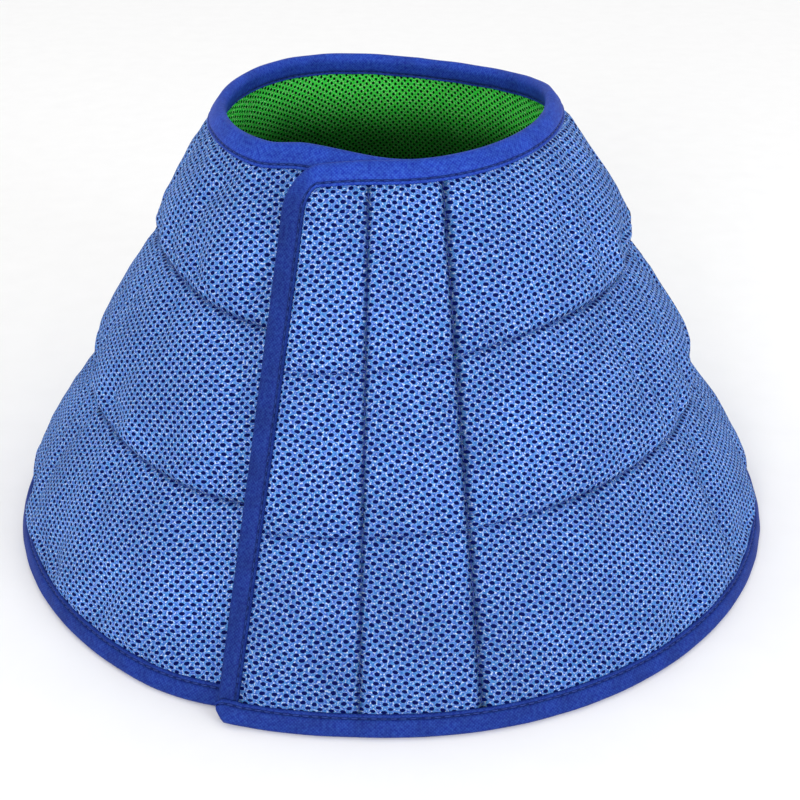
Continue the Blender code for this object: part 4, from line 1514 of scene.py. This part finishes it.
@dataclass
class Closure:
    """Hook strips inside the flap's tip and loop strips outside the inner end."""

    hooks: bpy.types.Material
    loops: bpy.types.Material
    strip: float = 0.0008
    slants: tuple[tuple[float, float], ...] = ((0.026, 0.092), (0.112, 0.160))
    hook_spread: tuple[float, float] = (0.009, 0.027)
    loop_spread: tuple[float, float] = (0.006, 0.036)
    loop_overrun: float = 0.004
    hook_depth: float = -0.0037
    loop_depth: float = 0.0005
    hook_pitch: float = 0.0018
    hook_half: float = 0.00018     # half a hook's thickness
    pile: float = 0.00012          # unevenness of the loops
    round_off: float = 0.003       # radius of a strip's corners

    def slab(self, name: str, slants: tuple[float, float], spread: tuple[float, float],
             depth: float, turns: int, fuzz: float, material: bpy.types.Material,
             slot: str) -> bpy.types.Object:
        """A strip with rounded corners.

        Args:
            name: the piece's name.
            slants: where it starts and ends up the cloth.
            spread: where it starts and ends across the cloth, from the flap's edge.
            depth: depth of its inner face.
            turns: whole turns round the cone, 1 on the inner end.
            fuzz: height of the pile's unevenness.
            material: its finish.
            slot: the material slot.

        Returns:
            The new object.
        """
        up = np.linspace(slants[0], slants[1], 60)
        share = np.linspace(0, 1, 26)
        beside = np.minimum(up - slants[0], slants[1] - up)
        cut = self.round_off - np.sqrt(np.maximum(
            self.round_off ** 2 - np.maximum(self.round_off - beside, 0) ** 2, 0))
        left, right = spread[0] + cut, spread[1] - cut
        reach = left[None, :] + (right - left)[None, :] * share[:, None]
        slant = np.tile(up, (len(share), 1))
        edge = CONE.line_azimuth(KNOT_LINES[Knot.FLAP_EDGE], slant)
        azimuth = edge + np.degrees(reach / CONE.radius(slant)) + 360 * turns
        pile = fuzz * drift(reach, slant, 21, 0.0035)
        inner = np.full_like(slant, depth)
        outer = np.full_like(slant, depth + self.strip)
        if turns:
            outer = outer + pile
        return make_shell(name, azimuth, slant, outer, inner, material, slot)

    def make_hooks(self, word: str, slants: tuple[float, float]) -> bpy.types.Object:
        """Hook strip: a slab with rows of small moulded hooks on its inner face."""
        name = f"hook_strip_{word}"
        piece = self.slab(name + "_tape", slants, self.hook_spread, self.hook_depth, 0, 0.0,
                          self.hooks, "hook_tape")
        reach = np.arange(self.hook_spread[0] + 0.0015, self.hook_spread[1] - 0.001,
                          self.hook_pitch)
        up = np.arange(slants[0] + 0.0015, slants[1] - 0.001, self.hook_pitch)
        profile = np.array([[0.0, 0.0], [0.1, 0.35], [0.35, 0.5], [0.6, 0.35]]) * MM
        half = self.hook_half
        points, faces = [], []
        for slant in up:
            edge = float(CONE.line_azimuth(KNOT_LINES[Knot.FLAP_EDGE], slant))
            for place in reach:
                base = len(points) * 4
                for along, drop in profile:
                    corners = np.array([[-half, -half], [half, -half], [half, half],
                                        [-half, half]])
                    side, rise = corners[:, 0] + place, corners[:, 1] + slant + along
                    azimuth = edge + np.degrees(side / CONE.radius(slant))
                    points.append(CONE.place(azimuth, rise, self.hook_depth - drop))
                for k in range(3):
                    a, b = base + 4 * k, base + 4 * (k + 1)
                    faces += [(a + j, b + j, b + (j + 1) % 4, a + (j + 1) % 4) for j in range(4)]
                faces += [tuple(base + 12 + j for j in reversed(range(4))),
                          tuple(base + j for j in range(4))]
        hooks = make_piece(name + "_hooks", np.concatenate(points), faces, self.hooks, "hook_tape")
        fix_facing(hooks)
        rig.ride(hooks, "flap_tip")
        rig.ride(piece, "flap_tip")
        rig.replaces(piece, name)
        return piece

    def make_loops(self, word: str, slants: tuple[float, float]) -> bpy.types.Object:
        """Loop strip, with a brushed pile."""
        name = f"loop_strip_{word}"
        longer = (slants[0] - self.loop_overrun, slants[1] + self.loop_overrun)
        piece = self.slab(name + "_pile", longer, self.loop_spread, self.loop_depth, 1,
                          self.pile, self.loops, "loop_tape")
        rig.ride(piece, "root")
        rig.replaces(piece, name)
        return piece

    def make(self) -> list[bpy.types.Object]:
        """All four strips."""
        made = []
        for word, slants in zip(("lower", "upper"), self.slants):
            made += [self.make_hooks(word, slants), self.make_loops(word, slants)]
        return made


# ---------------------------------------------------------------- studio

@dataclass(frozen=True)
class Lamp:
    """A soft box light: where it hangs, its size, its power and its colour."""

    name: str
    place: tuple[float, float, float]
    size: float
    power: float
    colour: str = "#ffffff"


@dataclass
class Studio:
    """Pale floor, soft lights and the camera."""

    camera_place: tuple[float, float, float] = (0.00336, -0.44389, 0.28480)
    pitch: float = 29.125
    roll: float = 0.244
    lens: float = 55.84
    sensor: float = 36.0
    target: tuple[float, float, float] = (0.0, 0.0, 0.08)
    floor_reach: float = 1.5
    horizon: float = 1.0       # the surround is pale at eye level
    overhead: float = 0.93     # and a little dimmer above
    backdrop: str = "#ffffff"
    lamps: tuple[Lamp, ...] = (
        Lamp("key_light", (-0.50, -1.75, 0.66), 0.5, 13.0, "#fffaf4"),
        Lamp("fill_light", (1.20, -1.30, 0.62), 0.7, 9.0, "#f4f8ff"),
    )

    def make_floor(self) -> bpy.types.Object:
        """Wide pale floor, with a soft paper grain."""
        material, tree, shader = new_material("paper_backdrop")
        place = add(tree, "TexCoord").outputs["Object"]
        grain = add(tree, "TexNoise", {"Vector": place, "Scale": 60.0, "Detail": 3.0})
        colour = add(tree, "Mix", {"Factor": grain.outputs["Fac"], 6: linear("#f7f7f7"),
                                   7: linear("#fdfdfd")}, data_type="RGBA").outputs[2]
        tree.links.new(colour, shader.inputs["Base Color"])
        shader.inputs["Roughness"].default_value = 0.9
        work = bmesh.new()
        bmesh.ops.create_grid(work, x_segments=8, y_segments=8, size=self.floor_reach)
        mesh = bpy.data.meshes.new("floor")
        work.to_mesh(mesh)
        work.free()
        mesh.materials.append(material)
        floor = bpy.data.objects.new("floor", mesh)
        floor.location.z = -0.0002
        bpy.context.scene.collection.objects.link(floor)
        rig.stage(floor)
        return floor

    def make_lights(self) -> None:
        """Soft lamps and a pale surround that is brightest at eye level."""
        scene = bpy.context.scene
        for lamp in self.lamps:
            light = bpy.data.lights.new(lamp.name, "AREA")
            light.shape, light.size = "DISK", lamp.size
            light.energy = lamp.power
            light.color = linear(lamp.colour)[:3]
            holder = bpy.data.objects.new(lamp.name, light)
            holder.location = lamp.place
            aim = Vector(self.target) - Vector(lamp.place)
            holder.rotation_euler = aim.to_track_quat("-Z", "Y").to_euler()
            scene.collection.objects.link(holder)
        world = bpy.data.worlds.new("studio_white")
        scene.world = world
        world.use_nodes = True
        sky = world.node_tree.nodes["Background"]
        way = add(world.node_tree, "TexCoord").outputs["Generated"]
        height = add(world.node_tree, "SeparateXYZ", {0: way}).outputs["Z"]
        fading = add(world.node_tree, "MapRange",
                     {"Value": height, "From Min": 0.10, "From Max": 0.60,
                      "To Min": self.horizon, "To Max": self.overhead},
                     interpolation_type="SMOOTHSTEP").outputs[0]
        sky.inputs["Color"].default_value = linear(self.backdrop)
        world.node_tree.links.new(fading, sky.inputs["Strength"])

    def make_camera(self) -> bpy.types.Object:
        """Camera a little above the collar, looking down at its flap."""
        data = bpy.data.cameras.new("camera")
        data.sensor_width, data.lens = self.sensor, self.lens
        data.clip_start, data.clip_end = 0.02, 50.0
        camera = bpy.data.objects.new("camera", data)
        camera.matrix_world = (Matrix.Translation(self.camera_place)
                               @ Matrix.Rotation(radians(90 - self.pitch), 4, "X")
                               @ Matrix.Rotation(radians(self.roll), 4, "Z"))
        bpy.context.scene.collection.objects.link(camera)
        bpy.context.scene.camera = camera
        return camera

    def make(self) -> None:
        """The whole studio."""
        self.make_camera()
        self.make_floor()
        self.make_lights()
        bpy.context.scene.view_settings.view_transform = "Standard"


# ---------------------------------------------------------------- making it all

BLUE_MESH = AirMesh("knitted_air_mesh_blue", yarn="#547ecc", ground="#22389e", fleck="#d0e4ff",
                    cool="#3c84c2", hole="#00084c")
GREEN_MESH = AirMesh("knitted_air_mesh_green", yarn="#48ff60", ground="#1cec3c", fleck="#e0ffd0",
                     cool="#38f028", hole="#002806", pitch=3.5, rows=1.45,
                     hole_size=(1.60, 1.14), seam_tint=0.16)
BLUE_TAPE = BiasTape("woven_bias_tape_blue", light="#3056b4", deep="#172e94")
BLUE_THREAD = PlainGoods("spun_polyester_thread_blue", "#24408f", "#162870", 0.6, 0.05, 0.5, 0.1)
FOAM = PlainGoods("open_cell_polyether_foam", "#f2f0e6", "#dcd8ca", 0.7, 0.3, 0.95)
HOOKS = PlainGoods("moulded_nylon_hook_tape_blue", "#2f4fb4", "#22388c", 0.8, 0.05, 0.4)
LOOPS = PlainGoods("brushed_nylon_loop_tape_blue", "#4468cc", "#2c4aa4", 0.5, 0.35, 0.9, 0.6)


def main() -> None:
    """Build the studio, then each layer of the collar, arc by arc."""
    logging.basicConfig(level=logging.INFO, format="%(message)s")
    Studio().make()
    padding = Padding()
    quilt = Quilt(padding, BLUE_MESH.make(), GREEN_MESH.make(), FOAM.make())
    binding = Binding(BLUE_TAPE.make())
    stitching = Stitching(BLUE_THREAD.make(), binding, padding)
    made: list[bpy.types.Object] = []
    for arc in Arc:
        made += [quilt.make_foam(arc, band) for band in range(3)]
        made += [quilt.make_cover(arc), quilt.make_lining(arc)]
        made += binding.make_arc(arc)
        made.append(stitching.make_arc(arc))
    made.append(binding.make_inner_edge())
    made += Closure(HOOKS.make(), LOOPS.make()).make()
    for piece in made:
        LOG.info("%s: %d faces", piece.name, len(piece.data.polygons))
    with open(SIZE_FILE, "w") as file:
        json.dump({"cad": [list(corner) for corner in CAD_BOX],
                   "visual": [list(corner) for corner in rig.bounds()]}, file)


if __name__ == "__main__":
    main()
